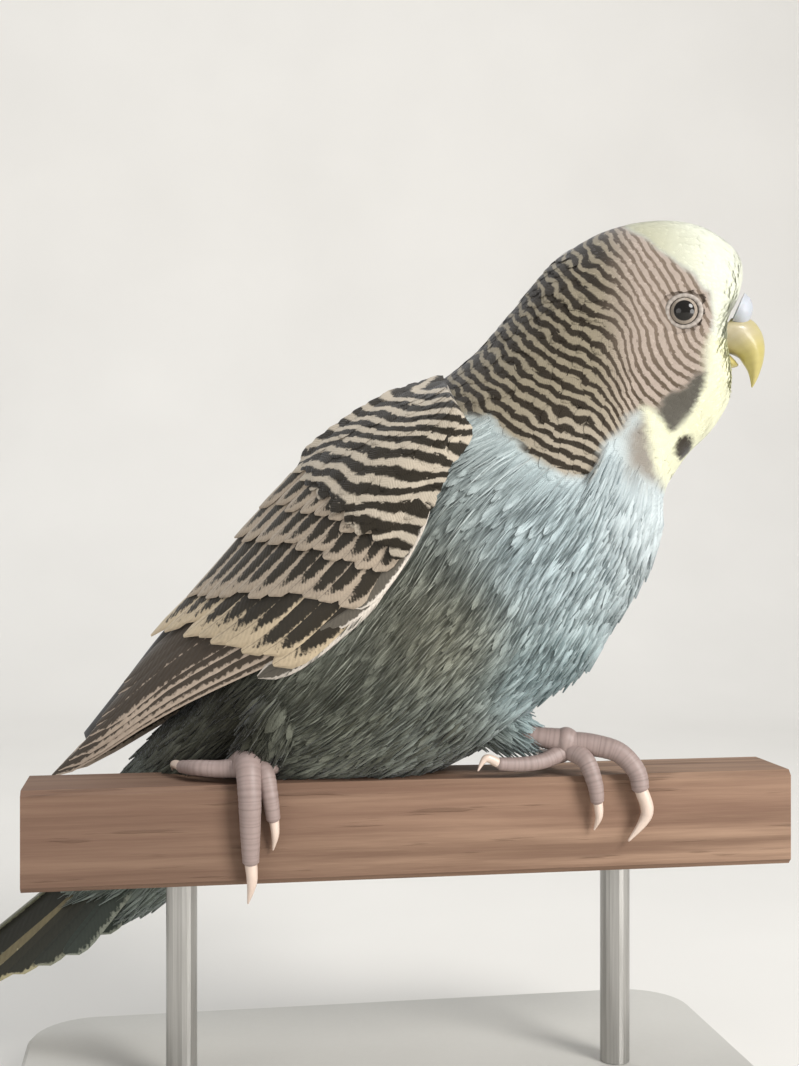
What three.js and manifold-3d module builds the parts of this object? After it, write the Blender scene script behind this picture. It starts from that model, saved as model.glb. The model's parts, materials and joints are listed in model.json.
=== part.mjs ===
// A budgerigar perched side-on on a short length of wooden perch, held by a plain stand.
// Units are millimetres, +Z is up. The origin is the centre of the underside of the stand's base,
// +X runs along the perch towards the side the bird faces, and -Y is the viewer's side.
import * as THREE from "three";
import { mergeVertices } from "three/addons/utils/BufferGeometryUtils.js";
import Module from "manifold-3d";

const wasm = await Module();
wasm.setup();

// ---------------------------------------------------------------- driving sizes
const GAP = 0.3; // clearance between neighbouring nodes
const BIRD_YAW = THREE.MathUtils.degToRad(-18); // the bird's heading, turned a little to the viewer
const BIRD_Y = 5; // the body's middle plane crosses X = 0 this far behind the perch's centre line
const PERCH_TOP = 60; // height of the perch's upper face above the floor
const PERCH_HEIGHT = 16.5;
const PERCH_DEPTH = 16;
const PERCH_LEFT = -61.7;
const PERCH_RIGHT = 69.5;
const BASE_SIZE = [128, 76, 8];
const BASE_CORNER = 12;
const ROD_RADIUS = 2.6;
const ROD_X = [-36, 40];
const EYE_RADIUS = 2.9;
const EYE_AT = [50.8, 9.7, 77.7];
const VANE = 0.55; // thickness of a feather at its shaft

// Side outline of the body from the bill's base to the rump, in the bird's own frame: along its
// heading, then up from the perch. Each row is back point, front or belly point, half-width.
const STATIONS = [
  [61.4, 82.9, 57.4, 73.4, 5.6],
  [60.8, 88.3, 58.1, 68.5, 8.8],
  [57.7, 91.9, 59.0, 64.5, 10.4],
  [53.2, 94.5, 57.7, 61.1, 11.6],
  [47.3, 95.4, 55.3, 57.7, 12.3],
  [40.8, 94.7, 53.0, 55.7, 12.9],
  [34.5, 92.4, 51.0, 53.0, 13.3],
  [28.2, 87.9, 49.3, 50.3, 13.8],
  [22.4, 81.3, 48.5, 48.2, 14.6],
  [16.0, 74.1, 47.6, 45.1, 16.0],
  [9.3, 68.6, 46.1, 40.0, 18.0],
  [2.2, 65.2, 43.9, 34.8, 20.0],
  [-4.1, 60.4, 40.5, 28.8, 21.5],
  [-9.5, 52.8, 35.7, 21.3, 22.3],
  [-15.0, 44.8, 28.5, 14.7, 22.3],
  [-19.5, 36.7, 19.8, 7.5, 21.5],
  [-23.6, 29.2, 9.3, 1.7, 20.0],
  [-27.3, 21.8, -2.3, -1.2, 18.0],
  [-31.4, 14.5, -14.1, -5.1, 15.5],
  [-37.8, 8.2, -25.1, -12.6, 12.6],
  [-44.4, 1.4, -34.4, -19.2, 10.0],
  [-51.0, -6.6, -42.6, -25.0, 7.6],
  [-58.0, -16.2, -52.4, -28.4, 4.4],
];
const HEAD_ENDS = 6; // station numbers where the thin cuts between the nodes lie
const NECK_ENDS = 10;
const TORSO_ENDS = 20;
const ROUND = 24; // points round a body section

// Upper and lower edge of the folded wing, front to tip: along, out from the middle plane, up.
const WING_TOP = [
  [11.5, 8.0, 67.0],
  [3.5, 9.5, 64.0],
  [-4.5, 8.5, 59.3],
  [-12.2, 6.0, 53.9],
  [-19.6, 3.4, 47.0],
  [-26.8, 2.0, 39.4],
  [-33.4, 1.5, 31.8],
  [-41.1, 1.4, 23.5],
  [-48.8, 1.3, 13.8],
  [-55.7, 1.2, 5.3],
  [-62.0, 1.0, -2.4],
];
const WING_LOW = [
  [16.5, 19.0, 58.5],
  [11.2, 21.0, 47.5],
  [6.7, 22.0, 38.8],
  [1.0, 22.3, 32.0],
  [-5.2, 21.6, 27.1],
  [-12.7, 20.0, 21.6],
  [-21.3, 17.0, 17.1],
  [-31.3, 13.2, 12.2],
  [-41.5, 9.2, 7.2],
  [-51.2, 5.6, 1.9],
  [-60.8, 2.6, -3.0],
];

// ---------------------------------------------------------------- colours
const COLOURS = {
  head: ["#e6e3d0", 0.9],
  neck: ["#8c8272", 0.9],
  torso: ["#7f9599", 0.9],
  tail: ["#3c4540", 0.85],
  wing: ["#4a4233", 0.85],
  leg: ["#8f9a99", 0.9],
  foot: ["#ac9893", 0.7],
  claw: ["#dec8b9", 0.45],
  bill: ["#c9c08c", 0.4],
  cere: ["#c9cedb", 0.6],
  eye: ["#1b1712", 0.08],
  perch: ["#a88775", 0.85],
  stand: ["#4a3a2e", 0.6],
  rod: ["#3a3835", 0.45],
};

// ---------------------------------------------------------------- small helpers
const lerp = THREE.MathUtils.lerp;
const V = (x, y, z) => new THREE.Vector3(x, y, z);

// Value of a table of rows at a fractional row number, by a smooth curve through its rows.
function smoothRow(rows, q) {
  const last = rows.length - 1;
  const i = Math.min(Math.max(Math.floor(q), 0), last - 1);
  const t = q - i;
  const at = (k) => rows[Math.min(Math.max(k, 0), last)];
  return at(i).map((_, c) => {
    const [a, b, d, e] = [at(i - 1)[c], at(i)[c], at(i + 1)[c], at(i + 2)[c]];
    const m0 = (d - a) / 2;
    const m1 = (e - b) / 2;
    const t2 = t * t;
    const t3 = t2 * t;
    return (2 * t3 - 3 * t2 + 1) * b + (t3 - 2 * t2 + t) * m0
      + (3 * t2 - 2 * t3) * d + (t3 - t2) * m1;
  });
}

// A closed body through rings of points, each ring closed by a fan at the two ends.
function skinRings(rings, startPole, endPole) {
  const n = rings[0].length;
  const points = rings.flat();
  const index = [];
  for (let r = 0; r + 1 < rings.length; r += 1) {
    for (let k = 0; k < n; k += 1) {
      const a = r * n + k;
      const b = r * n + ((k + 1) % n);
      index.push(a, b, a + n, b, b + n, a + n);
    }
  }
  const mid = (ring) => ring.reduce((s, p) => s.add(p), V(0, 0, 0)).divideScalar(ring.length);
  const s = points.push(startPole || mid(rings[0])) - 1;
  const e = points.push(endPole || mid(rings[rings.length - 1])) - 1;
  const base = (rings.length - 1) * n;
  for (let k = 0; k < n; k += 1) {
    index.push(s, (k + 1) % n, k);
    index.push(e, base + k, base + ((k + 1) % n));
  }
  const g = new THREE.BufferGeometry().setFromPoints(points);
  g.setIndex(index);
  return g;
}

// The manifold solid of a geometry, turned right side out.
function solid(geometry) {
  let g = geometry.clone();
  for (const name of ["normal", "uv"]) g.deleteAttribute(name);
  g = mergeVertices(g, 1e-4);
  const position = g.attributes.position.array;
  const make = (tris) => new wasm.Manifold(
    new wasm.Mesh({ numProp: 3, vertProperties: position, triVerts: tris }),
  );
  const tris = new Uint32Array(g.index.array);
  const made = make(tris);
  if (made.volume() >= 0) return made;
  const turned = tris.slice();
  for (let i = 0; i < tris.length; i += 3) {
    turned[i + 1] = tris[i + 2];
    turned[i + 2] = tris[i + 1];
  }
  return make(turned);
}

// The geometry of a manifold solid, its largest closed surface only.
function geometryOf(made, tolerance = 0.01) {
  const tidy = made.simplify(tolerance);
  const whole = tidy.decompose().sort((a, b) => b.volume() - a.volume())[0];
  const mesh = whole.getMesh();
  const g = new THREE.BufferGeometry();
  const xyz = new Float32Array(mesh.numVert * 3);
  for (let i = 0; i < mesh.numVert; i += 1) {
    for (let c = 0; c < 3; c += 1) xyz[i * 3 + c] = mesh.vertProperties[i * mesh.numProp + c];
  }
  g.setAttribute("position", new THREE.BufferAttribute(xyz, 3));
  g.setIndex(new THREE.BufferAttribute(mesh.triVerts, 1));
  return g;
}

const united = (list) => list.reduce((a, b) => a.add(b));

const part = new THREE.Group();
part.name = "budgerigar";
const bird = new THREE.Group();
bird.position.set(0, BIRD_Y, PERCH_TOP);
bird.rotation.z = BIRD_YAW;
part.add(bird);

function addNode(parent, name, look, geometry) {
  const [colour, roughness] = COLOURS[look];
  const material = new THREE.MeshStandardMaterial({ color: colour, roughness, metalness: 0 });
  material.name = look;
  const plain = geometry.index ? geometry.toNonIndexed() : geometry;
  plain.computeVertexNormals();
  const mesh = new THREE.Mesh(plain, material);
  mesh.name = name;
  parent.add(mesh);
  return mesh;
}

// A point of the row's frame in the bird's frame.
function toBird(x, y, z) {
  return V(x, y - BIRD_Y, z - PERCH_TOP).applyAxisAngle(V(0, 0, 1), -BIRD_YAW);
}

// ---------------------------------------------------------------- head, neck, torso
// The ring of the body at a station, grown outwards by a clearance.
function bodyRing(q, grow = 0, round = ROUND) {
  const [da, du, va, vu, w] = smoothRow(STATIONS, q);
  const centre = V((da + va) / 2, 0, (du + vu) / 2);
  const up = V(da - va, 0, du - vu);
  const half = up.length() / 2 + grow;
  up.normalize();
  return Array.from({ length: round }, (_, k) => {
    const v = (k / round) * Math.PI * 2;
    return centre.clone()
      .addScaledVector(up, half * Math.cos(v))
      .add(V(0, (w + grow) * Math.sin(v), 0));
  });
}

function bodyPiece(q0, q1, steps, grow = 0) {
  const rings = Array.from({ length: steps + 1 }, (_, i) => bodyRing(lerp(q0, q1, i / steps), grow));
  return skinRings(rings);
}

// Half-width of the body where a point of the middle plane lies, or 0 outside it.
function bodyHalfWidth(a, u) {
  const side = (q) => {
    const [da, du, va, vu] = smoothRow(STATIONS, q);
    return (va - da) * (u - du) - (vu - du) * (a - da);
  };
  for (let q = 6; q < 22; q += 0.25) {
    const s0 = side(q);
    const s1 = side(q + 0.25);
    if (s0 * s1 > 0) continue;
    const at = q + (0.25 * s0) / (s0 - s1 || 1);
    const [da, du, va, vu, w] = smoothRow(STATIONS, at);
    const f = ((a - da) * (va - da) + (u - du) * (vu - du)) / ((va - da) ** 2 + (vu - du) ** 2);
    if (f > 0 && f < 1) return w * Math.sin(Math.acos(1 - 2 * f));
  }
  return 0;
}

const cutShare = (q) => {
  const a = bodyRing(q)[0];
  const b = bodyRing(q + 0.1)[0];
  return (GAP / 2) * (0.1 / a.distanceTo(b));
};
const perchBlock = new THREE.BoxGeometry(400, PERCH_DEPTH + 0.8, PERCH_HEIGHT + 0.8);
perchBlock.translate(0, 0, PERCH_TOP - PERCH_HEIGHT / 2);
const perchInBird = perchBlock.clone().translate(0, -BIRD_Y, -PERCH_TOP).rotateZ(-BIRD_YAW);

// ---------------------------------------------------------------- bill and cere
const BILL = [
  [60.3, 78.4, 57.9, 73.5, 4.4],
  [62.6, 78.0, 58.5, 73.4, 4.3],
  [64.1, 75.8, 59.3, 72.6, 4.0],
  [64.7, 73.4, 60.3, 71.4, 3.3],
  [64.6, 71.2, 61.2, 70.2, 2.5],
  [64.1, 69.2, 61.9, 69.0, 1.7],
  [63.4, 67.4, 62.3, 67.6, 0.9],
];
const LOWER_BILL = [
  [56.2, 73.6, 56.6, 70.6, 3.4],
  [58.0, 72.6, 57.8, 69.9, 3.1],
  [59.7, 71.0, 59.2, 69.6, 1.9],
];
const FACE_FRONT = V(0.919, 0, -0.394); // direction square to the face where the bill leaves it
const FACE_MIDDLE = V(59.4, 0, 78.15);

function profileLoft(rows, grow, round, tip) {
  const rings = rows.map(([da, du, va, vu, w]) => {
    const centre = V((da + va) / 2, 0, (du + vu) / 2);
    const up = V(da - va, 0, du - vu);
    const half = up.length() / 2 + grow;
    up.normalize();
    return Array.from({ length: round }, (_, k) => {
      const v = (k / round) * Math.PI * 2;
      return centre.clone()
        .addScaledVector(up, half * Math.cos(v))
        .add(V(0, (w + grow) * Math.sin(v), 0));
    });
  });
  return skinRings(rings, null, tip);
}
const upperBill = (grow) => profileLoft(BILL, grow, 14, V(62.6, 0, 66.1 - grow));
const lowerBill = (grow) => profileLoft(LOWER_BILL, grow, 12, V(60.3 + grow, 0, 69.9));

function cereShape() {
  const up = V(0.394, 0, 0.919);
  const rows = [
    [0.3, 3.3, 5.2, 0],
    [1.3, 3.2, 4.9, -0.1],
    [2.2, 2.5, 3.9, -0.3],
    [2.7, 1.3, 2.2, -0.5],
  ];
  const centre = FACE_MIDDLE.clone().addScaledVector(up, 1.75);
  const rings = rows.map(([out, tall, wide, drop]) => Array.from({ length: 16 }, (_, k) => {
    const v = (k / 16) * Math.PI * 2;
    return centre.clone()
      .addScaledVector(FACE_FRONT, out)
      .addScaledVector(up, tall * Math.cos(v) + drop)
      .add(V(0, wide * Math.sin(v), 0));
  }));
  return solid(skinRings(rings));
}

function eyeBall(side, grow = 0) {
  const g = new THREE.SphereGeometry(EYE_RADIUS + grow, 16, 10);
  return g.rotateX(Math.PI / 2).translate(EYE_AT[0], side * EYE_AT[1], EYE_AT[2]);
}

function lidRing(side) {
  const g = new THREE.TorusGeometry(2.95, 0.55, 6, 18);
  return g.rotateX(Math.PI / 2).translate(EYE_AT[0], side * (EYE_AT[1] + 1.6), EYE_AT[2]);
}

let headSolid = solid(bodyPiece(0, HEAD_ENDS - cutShare(HEAD_ENDS), 9));
headSolid = united([headSolid, solid(lidRing(1)), solid(lidRing(-1))]);
headSolid = headSolid.subtract(solid(eyeBall(1, GAP))).subtract(solid(eyeBall(-1, GAP)));
headSolid = headSolid.subtract(solid(lowerBill(GAP))).subtract(solid(upperBill(GAP)));
addNode(bird, "head", "head", geometryOf(headSolid));
addNode(bird, "eye_right", "eye", eyeBall(-1));
addNode(bird, "eye_left", "eye", eyeBall(1));

const billSolid = solid(upperBill(0));
addNode(bird, "bill_upper", "bill", geometryOf(billSolid));
const lowerSolid = solid(lowerBill(0)).subtract(solid(upperBill(GAP)));
addNode(bird, "bill_lower", "bill", geometryOf(lowerSolid));
let cereSolid = cereShape().subtract(solid(upperBill(GAP)));
for (const side of [-1, 1]) {
  const nostril = new THREE.CylinderGeometry(0.42, 0.42, 3, 8).rotateZ(-1.15);
  cereSolid = cereSolid.subtract(solid(nostril.translate(62.9, side * 2.1, 80.9)));
}
addNode(bird, "cere", "cere", geometryOf(cereSolid));

const neckSolid = solid(
  bodyPiece(HEAD_ENDS + cutShare(HEAD_ENDS), NECK_ENDS - cutShare(NECK_ENDS), 5),
);
addNode(bird, "neck", "neck", geometryOf(neckSolid));

// ---------------------------------------------------------------- legs, feet and claws
// A round limb through the given points, each with its own radius, flat at both ends.
function limb(points, radii, round = 8) {
  const curve = new THREE.CatmullRomCurve3(points);
  const steps = (points.length - 1) * 2;
  const rings = [];
  let side = null;
  for (let i = 0; i <= steps; i += 1) {
    const t = i / steps;
    const centre = curve.getPoint(t);
    const tangent = curve.getTangent(t);
    if (!side) {
      const guess = Math.abs(tangent.z) > 0.8 ? V(1, 0, 0) : V(0, 0, 1);
      side = guess.clone().cross(tangent).normalize();
    }
    side.addScaledVector(tangent, -side.dot(tangent)).normalize();
    const other = tangent.clone().cross(side);
    const at = t * (radii.length - 1);
    const k = Math.min(Math.floor(at), radii.length - 2);
    const r = lerp(radii[k], radii[k + 1], at - k);
    rings.push(Array.from({ length: round }, (_, j) => {
      const v = (j / round) * Math.PI * 2;
      return centre.clone()
        .addScaledVector(side, r * Math.cos(v))
        .addScaledVector(other, r * Math.sin(v));
    }));
  }
  return skinRings(rings);
}

// Toes and tarsi are given in the row's frame, heights from the perch's upper face.
const FEET = {
  right: {
    tarsus: [[-21.0, -1.5, 12.0], [-23.6, -4.0, 7.0], [-25.4, -5.4, 3.4]],
    toes: [
      [[-25.2, -5.2, 3.3], [-25.2, -8.4, 2.8], [-25.1, -10.4, -1.5], [-25.0, -10.3, -7.0],
        [-24.9, -10.0, -12.2]],
      [[-24.6, -5.2, 2.6], [-22.6, -8.3, 2.0], [-21.8, -9.8, -1.4], [-21.2, -9.7, -5.4]],
      [[-25.6, -5.2, 2.6], [-29.5, -5.0, 2.3], [-33.6, -3.2, 2.3], [-36.0, 0.2, 2.0]],
      [[-24.8, -4.6, 2.6], [-21.6, -4.2, 2.4], [-20.2, -1.0, 2.1], [-19.8, 3.6, 1.9]],
    ],
    radii: [[2.7, 2.2, 1.95, 1.7, 1.4], [1.9, 1.6, 1.4, 1.15], [1.8, 1.5, 1.35, 1.1],
      [1.7, 1.6, 1.3, 1.05]],
    claws: [
      [[-24.9, -9.9, -12.6], [-24.7, -9.8, -15.6], [-25.3, -9.0, -19.2]],
      [[-21.1, -9.6, -5.8], [-20.9, -9.6, -8.0], [-21.2, -8.8, -10.6]],
      [[-36.1, 0.6, 2.0], [-37.3, 3.2, 2.0], [-37.5, 5.4, 0.6]],
      [[-19.8, 4.0, 1.9], [-19.5, 6.6, 2.0], [-19.4, 8.4, 0.4]],
    ],
    thigh: [[-17.5, -4.6, 15.0], [-20.0, -4.8, 10.5], [-22.6, -5.0, 7.4]],
    thighRadii: [6.0, 4.6, 2.6],
  },
  left: {
    tarsus: [[18.2, -2.0, 7.4], [23.4, -4.0, 6.6], [29.4, -5.5, 5.6]],
    toes: [
      [[29.0, -5.5, 5.3], [33.6, -6.8, 5.1], [38.0, -8.4, 3.9], [40.6, -10.0, 0.9],
        [41.2, -10.4, -2.0]],
      [[29.6, -5.6, 4.4], [32.0, -8.6, 2.8], [33.2, -10.1, -0.8], [33.7, -10.1, -4.0]],
      [[29.0, -5.8, 4.0], [25.2, -7.0, 2.6], [21.2, -7.6, 2.2], [17.2, -7.8, 2.4]],
      [[29.8, -4.8, 4.2], [29.6, -1.6, 2.6], [28.8, 1.8, 2.0], [28.2, 4.6, 1.8]],
    ],
    radii: [[2.1, 1.95, 1.8, 1.65, 1.5], [1.9, 1.6, 1.4, 1.15], [1.6, 1.35, 1.25, 1.1],
      [1.6, 1.4, 1.2, 1.0]],
    claws: [
      [[41.3, -10.3, -2.5], [42.4, -10.2, -6.4], [39.4, -9.6, -11.0]],
      [[33.8, -10.0, -4.4], [34.0, -10.0, -6.6], [33.4, -9.2, -9.0]],
      [[16.8, -7.8, 2.6], [14.8, -8.0, 3.4], [13.4, -8.2, 1.4]],
      [[28.1, 5.0, 1.8], [27.9, 7.4, 2.0], [27.8, 9.0, 0.3]],
    ],
    thigh: [[11.5, 0.6, 13.0], [16.6, -1.0, 10.0], [20.6, -2.4, 7.6]],
    thighRadii: [7.0, 5.2, 2.6],
  },
};
const CLAW_RADII = [[1.05, 0.85, 0.15], [0.85, 0.65, 0.15], [0.85, 0.65, 0.15], [0.75, 0.6, 0.15]];
const TOE_NAMES = ["front_outer", "front_inner", "hind_outer", "hind_inner"];
const inBird = (list) => list.map(([x, y, z]) => toBird(x, y, z + PERCH_TOP));

// The solids of one foot, thigh and claws, each grown outwards by a clearance.
function footSolids(foot, grow, big) {
  const wider = (radii) => radii.map((r) => r + grow);
  const at = foot.tarsus[2];
  const knuckle = new THREE.SphereGeometry(2.75 + grow, 12, 8)
    .translate(...toBird(at[0], at[1], at[2] + PERCH_TOP));
  const limbs = [limb(inBird(foot.tarsus), wider([1.7, 1.6, 2.4])), knuckle]
    .concat(foot.toes.map((toe, i) => limb(inBird(toe), wider(foot.radii[i]))));
  const claws = foot.claws.map((claw, i) => {
    const reach = foot.radii[i][foot.radii[i].length - 1];
    const radii = big && i === 0 ? [1.15, 1.05, 0.2] : CLAW_RADII[i].map((r) => Math.min(r, reach * 0.8));
    return solid(limb(inBird(claw), wider(radii)));
  });
  return {
    foot: united(limbs.map(solid)),
    thigh: solid(limb(inBird(foot.thigh), wider(foot.thighRadii), 12)),
    claws,
  };
}

const torsoWhole = (grow) => solid(
  bodyPiece(
    NECK_ENDS + (grow ? -0.05 : cutShare(NECK_ENDS)),
    TORSO_ENDS - (grow ? -0.05 : cutShare(TORSO_ENDS)),
    14,
    grow,
  ),
);
const perchCut = solid(perchInBird);
let torsoSolid = torsoWhole(0).subtract(perchCut);
const torsoGrown = torsoWhole(GAP);
const neckGrown = solid(bodyPiece(HEAD_ENDS, NECK_ENDS, 5, GAP));
for (const [label, foot] of Object.entries(FEET)) {
  const shapes = footSolids(foot, 0, label === "left");
  const grown = footSolids(foot, GAP, label === "left");
  torsoSolid = torsoSolid.subtract(grown.foot);
  for (const claw of grown.claws) torsoSolid = torsoSolid.subtract(claw);
  const thigh = shapes.thigh.subtract(torsoGrown).subtract(perchCut).subtract(grown.foot);
  addNode(bird, "foot_" + label, "foot", geometryOf(shapes.foot.subtract(perchCut)));
  addNode(bird, "leg_" + label, "leg", geometryOf(thigh));
  shapes.claws.forEach((claw, i) => {
    const name = `claw_${label}_${TOE_NAMES[i]}`;
    addNode(bird, name, "claw", geometryOf(claw.subtract(perchCut)));
  });
}
addNode(bird, "torso", "torso", geometryOf(torsoSolid));

// ---------------------------------------------------------------- wings
// A point of the folded wing's outer face: s runs from its front to its tip, t from its upper edge
// to its lower edge. It lies on the body where the body is wider.
function wingPoint(side, s, t) {
  const top = smoothRow(WING_TOP, s * 10);
  const low = smoothRow(WING_LOW, s * 10);
  const a = lerp(top[0], low[0], t);
  const u = lerp(top[2], low[2], t);
  const bulge = Math.sin((t * Math.PI) / 2) ** 0.85;
  const folded = lerp(top[1], low[1], bulge) + 1.4 * Math.sin(t * Math.PI) * (1 - s);
  const body = bodyHalfWidth(a, u) + 1.2 * (1 - s);
  return V(a, side * Math.max(folded, body), u);
}

function wingNormal(side, s, t) {
  const d = 0.03;
  const ds = wingPoint(side, Math.min(s + d, 1), t).sub(wingPoint(side, Math.max(s - d, 0), t));
  const dt = wingPoint(side, s, Math.min(t + d, 1)).sub(wingPoint(side, s, Math.max(t - d, 0)));
  const n = ds.cross(dt).normalize();
  return n.y * side < 0 ? n.negate() : n;
}

// The wing's slab between two sheets, its thickness given by a rule of s and t.
function wingSlab(side, s0, s1, sSteps, tSteps, thick) {
  const rings = [];
  for (let i = 0; i <= sSteps; i += 1) {
    const s = lerp(s0, s1, i / sSteps);
    const outer = [];
    const inner = [];
    for (let j = 0; j <= tSteps; j += 1) {
      const t = j / tSteps;
      const p = wingPoint(side, s, t);
      outer.push(p);
      inner.push(p.clone().addScaledVector(wingNormal(side, s, t), -thick(s, t)));
    }
    rings.push([...outer, ...inner.reverse()]);
  }
  return solid(skinRings(rings));
}

// One feather: a thin blade through centre points, its flat face turned to the given normals and
// its two edges drawn down a little, so that both faces are split into triangles alike.
const BLADE = [0.55, 0.95, 1, 0.78, 0.22]; // share of the full width from root to tip
function vane(points, normals, width, thick = VANE) {
  const last = points.length - 1;
  const rings = points.map((p, i) => {
    const ahead = points[Math.min(i + 1, last)].clone().sub(points[Math.max(i - 1, 0)]);
    const n = normals[i].clone();
    n.addScaledVector(ahead, -n.dot(ahead) / ahead.lengthSq()).normalize();
    const side = ahead.cross(n).normalize();
    const w = (width * smoothRow(BLADE.map((v) => [v]), (i / last) * 4)[0]) / 2;
    const mid = thick / 2;
    const edge = mid * 0.75;
    const at = (x, y) => p.clone()
      .addScaledVector(side, x)
      .addScaledVector(n, y - 0.09 * Math.abs(x));
    return [at(-w, edge), at(0, mid), at(w, edge), at(w, -edge), at(0, -mid), at(-w, -edge)];
  });
  return solid(skinRings(rings));
}

// A feather lying on the folded wing, from root to tip, each given as [s, t, height above it].
function wingVane(side, root, tip, width, tilt, steps = 4) {
  const points = [];
  const normals = [];
  for (let i = 0; i <= steps; i += 1) {
    const k = i / steps;
    const s = lerp(root[0], tip[0], k);
    const t = lerp(root[1], tip[1], k);
    const n = wingNormal(side, s, t);
    points.push(wingPoint(side, s, t).addScaledVector(n, lerp(root[2], tip[2], Math.min(1, k * 2))));
    const down = wingPoint(side, s, Math.min(t + 0.05, 1)).sub(wingPoint(side, s, Math.max(t - 0.05, 0)));
    normals.push(n.addScaledVector(down.normalize(), -tilt));
  }
  return vane(points, normals, width);
}

// The tiers of the wing from below: count, then root and tip of its first (nearest the back) and
// last feather as [s, t, height], width of a feather, and how far it is tilted like a roof tile.
const TIERS = [
  [8, [0.36, 0.45, 1.1], [0.80, 0.25, 0.9], [0.40, 0.88, 0.0], [1.0, 0.55, 0.1], 5.6, 0.08, 4],
  [7, [0.30, 0.20, 1.1], [0.71, 0.24, 1.5], [0.34, 0.86, 1.0], [0.61, 0.90, 1.4], 6.4, 0.12, 4],
  [7, [0.24, 0.18, 0.9], [0.59, 0.22, 1.9], [0.26, 0.86, 1.0], [0.47, 0.92, 1.8], 6.2, 0.12, 3],
  [6, [0.14, 0.18, 0.6], [0.48, 0.21, 2.1], [0.18, 0.84, 0.8], [0.35, 0.90, 2.1], 6.6, 0.12, 3],
];

for (const [label, side] of [["right", -1], ["left", 1]]) {
  let wing = wingSlab(side, 0, 0.5, 8, 6, (s) => lerp(3.2, 1.6, Math.min(1, s * 2)));
  for (const [count, root0, tip0, root1, tip1, width, tilt, steps] of TIERS) {
    for (let k = 0; k < count; k += 1) {
      const f = k / (count - 1);
      const root = root0.map((v, c) => lerp(v, root1[c], f));
      const tip = tip0.map((v, c) => lerp(v, tip1[c], f));
      wing = wing.add(wingVane(side, root, tip, width, tilt, steps));
    }
  }
  wing = wing.subtract(torsoGrown).subtract(neckGrown);
  addNode(bird, "wing_" + label, "wing", geometryOf(wing, 0.05));
}

// ---------------------------------------------------------------- tail
const TAIL_ROOT = V(-43, 0, -9.5);
const TAIL_TIP = V(-82.5, 0, -41.5);
const TAIL_PAIRS = [1, 0.93, 0.85, 0.75, 0.64, 0.52]; // length of each pair from the middle out
const TAIL_WIDTH = 8.4;
const tailCore = solid(bodyPiece(TORSO_ENDS + cutShare(TORSO_ENDS), 22, 4));
const tailRun = TAIL_TIP.clone().sub(TAIL_ROOT);
const tailUp = V(-0.657, 0, 0.754);
let tailSolid = tailCore;
TAIL_PAIRS.forEach((share, pair) => {
  for (const side of [-1, 1]) {
    const points = [];
    const normals = [];
    const roll = THREE.MathUtils.degToRad(48 + 3 * pair);
    for (let i = 0; i <= 4; i += 1) {
      const k = i / 4;
      points.push(TAIL_ROOT.clone()
        .addScaledVector(tailRun, k * share)
        .add(V(0, side * (2.0 + pair * lerp(0.6, 1.0, k)), 0))
        .addScaledVector(tailUp, -pair * lerp(0.7, 1.9, k) - (side > 0 ? 0.5 : 0)));
      normals.push(tailUp.clone().multiplyScalar(Math.cos(roll)).add(V(0, side * Math.sin(roll), 0)));
    }
    tailSolid = tailSolid.add(vane(points, normals, TAIL_WIDTH));
  }
});
tailSolid = tailSolid.subtract(perchCut);
addNode(bird, "tail", "tail", geometryOf(tailSolid, 0.05));

// ---------------------------------------------------------------- perch and stand
// The perch's worn upper face: height above or below its mean at points along it.
const WEAR = [[-61.7, 0.6], [-45, 0.4], [-31, 0.2], [0, 0], [27, -0.2], [43, 0.3], [69.5, 0.4]];
function perchShape() {
  const half = PERCH_DEPTH / 2;
  const r = 0.9;
  const rings = WEAR.map(([x, rise]) => {
    const top = PERCH_TOP + Math.min(rise, 0);
    const low = PERCH_TOP - PERCH_HEIGHT;
    return [[-half, low + r], [-half, top - r], [-half + r, top], [half - r, top],
      [half, top - r], [half, low + r], [half - r, low], [-half + r, low]]
      .map(([y, z]) => V(x, y, z));
  });
  return skinRings(rings);
}
addNode(part, "perch", "perch", geometryOf(solid(perchShape()), 0.001));

function roundedPlate([length, width, height], corner) {
  const shape = new THREE.Shape();
  const [x, y] = [length / 2, width / 2];
  shape.moveTo(-x + corner, -y);
  shape.lineTo(x - corner, -y);
  shape.absarc(x - corner, -y + corner, corner, -Math.PI / 2, 0);
  shape.lineTo(x, y - corner);
  shape.absarc(x - corner, y - corner, corner, 0, Math.PI / 2);
  shape.lineTo(-x + corner, y);
  shape.absarc(-x + corner, y - corner, corner, Math.PI / 2, Math.PI);
  shape.lineTo(-x, -y + corner);
  shape.absarc(-x + corner, -y + corner, corner, Math.PI, Math.PI * 1.5);
  const bevel = 0.8;
  const g = new THREE.ExtrudeGeometry(shape, {
    depth: height - 2 * bevel,
    bevelEnabled: true,
    bevelSize: bevel,
    bevelOffset: -bevel,
    bevelThickness: bevel,
    bevelSegments: 1,
    curveSegments: 5,
  });
  return g.translate(0, 0, bevel);
}
addNode(part, "stand_base", "stand", geometryOf(solid(roundedPlate(BASE_SIZE, BASE_CORNER)), 0.001));
ROD_X.forEach((x, i) => {
  const low = BASE_SIZE[2] + 0.1;
  const high = PERCH_TOP - PERCH_HEIGHT - 0.1;
  const rod = new THREE.CylinderGeometry(ROD_RADIUS, ROD_RADIUS, high - low, 20)
    .rotateX(Math.PI / 2)
    .translate(x, 0, (low + high) / 2);
  addNode(part, "stand_rod_" + (i + 1), "rod", geometryOf(solid(rod), 0.001));
});

export default part;
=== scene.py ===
# %% [markdown]
# # A budgerigar on a short length of perch
# A perched bird is mostly feathers, so this scene is built as a bird is: a smooth skin, a coat of many
# small feathers laid on it, and long stiff feathers for the wings and tail. The solids made before give
# the size and the place of everything. Here each of them gets its real surface.

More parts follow.
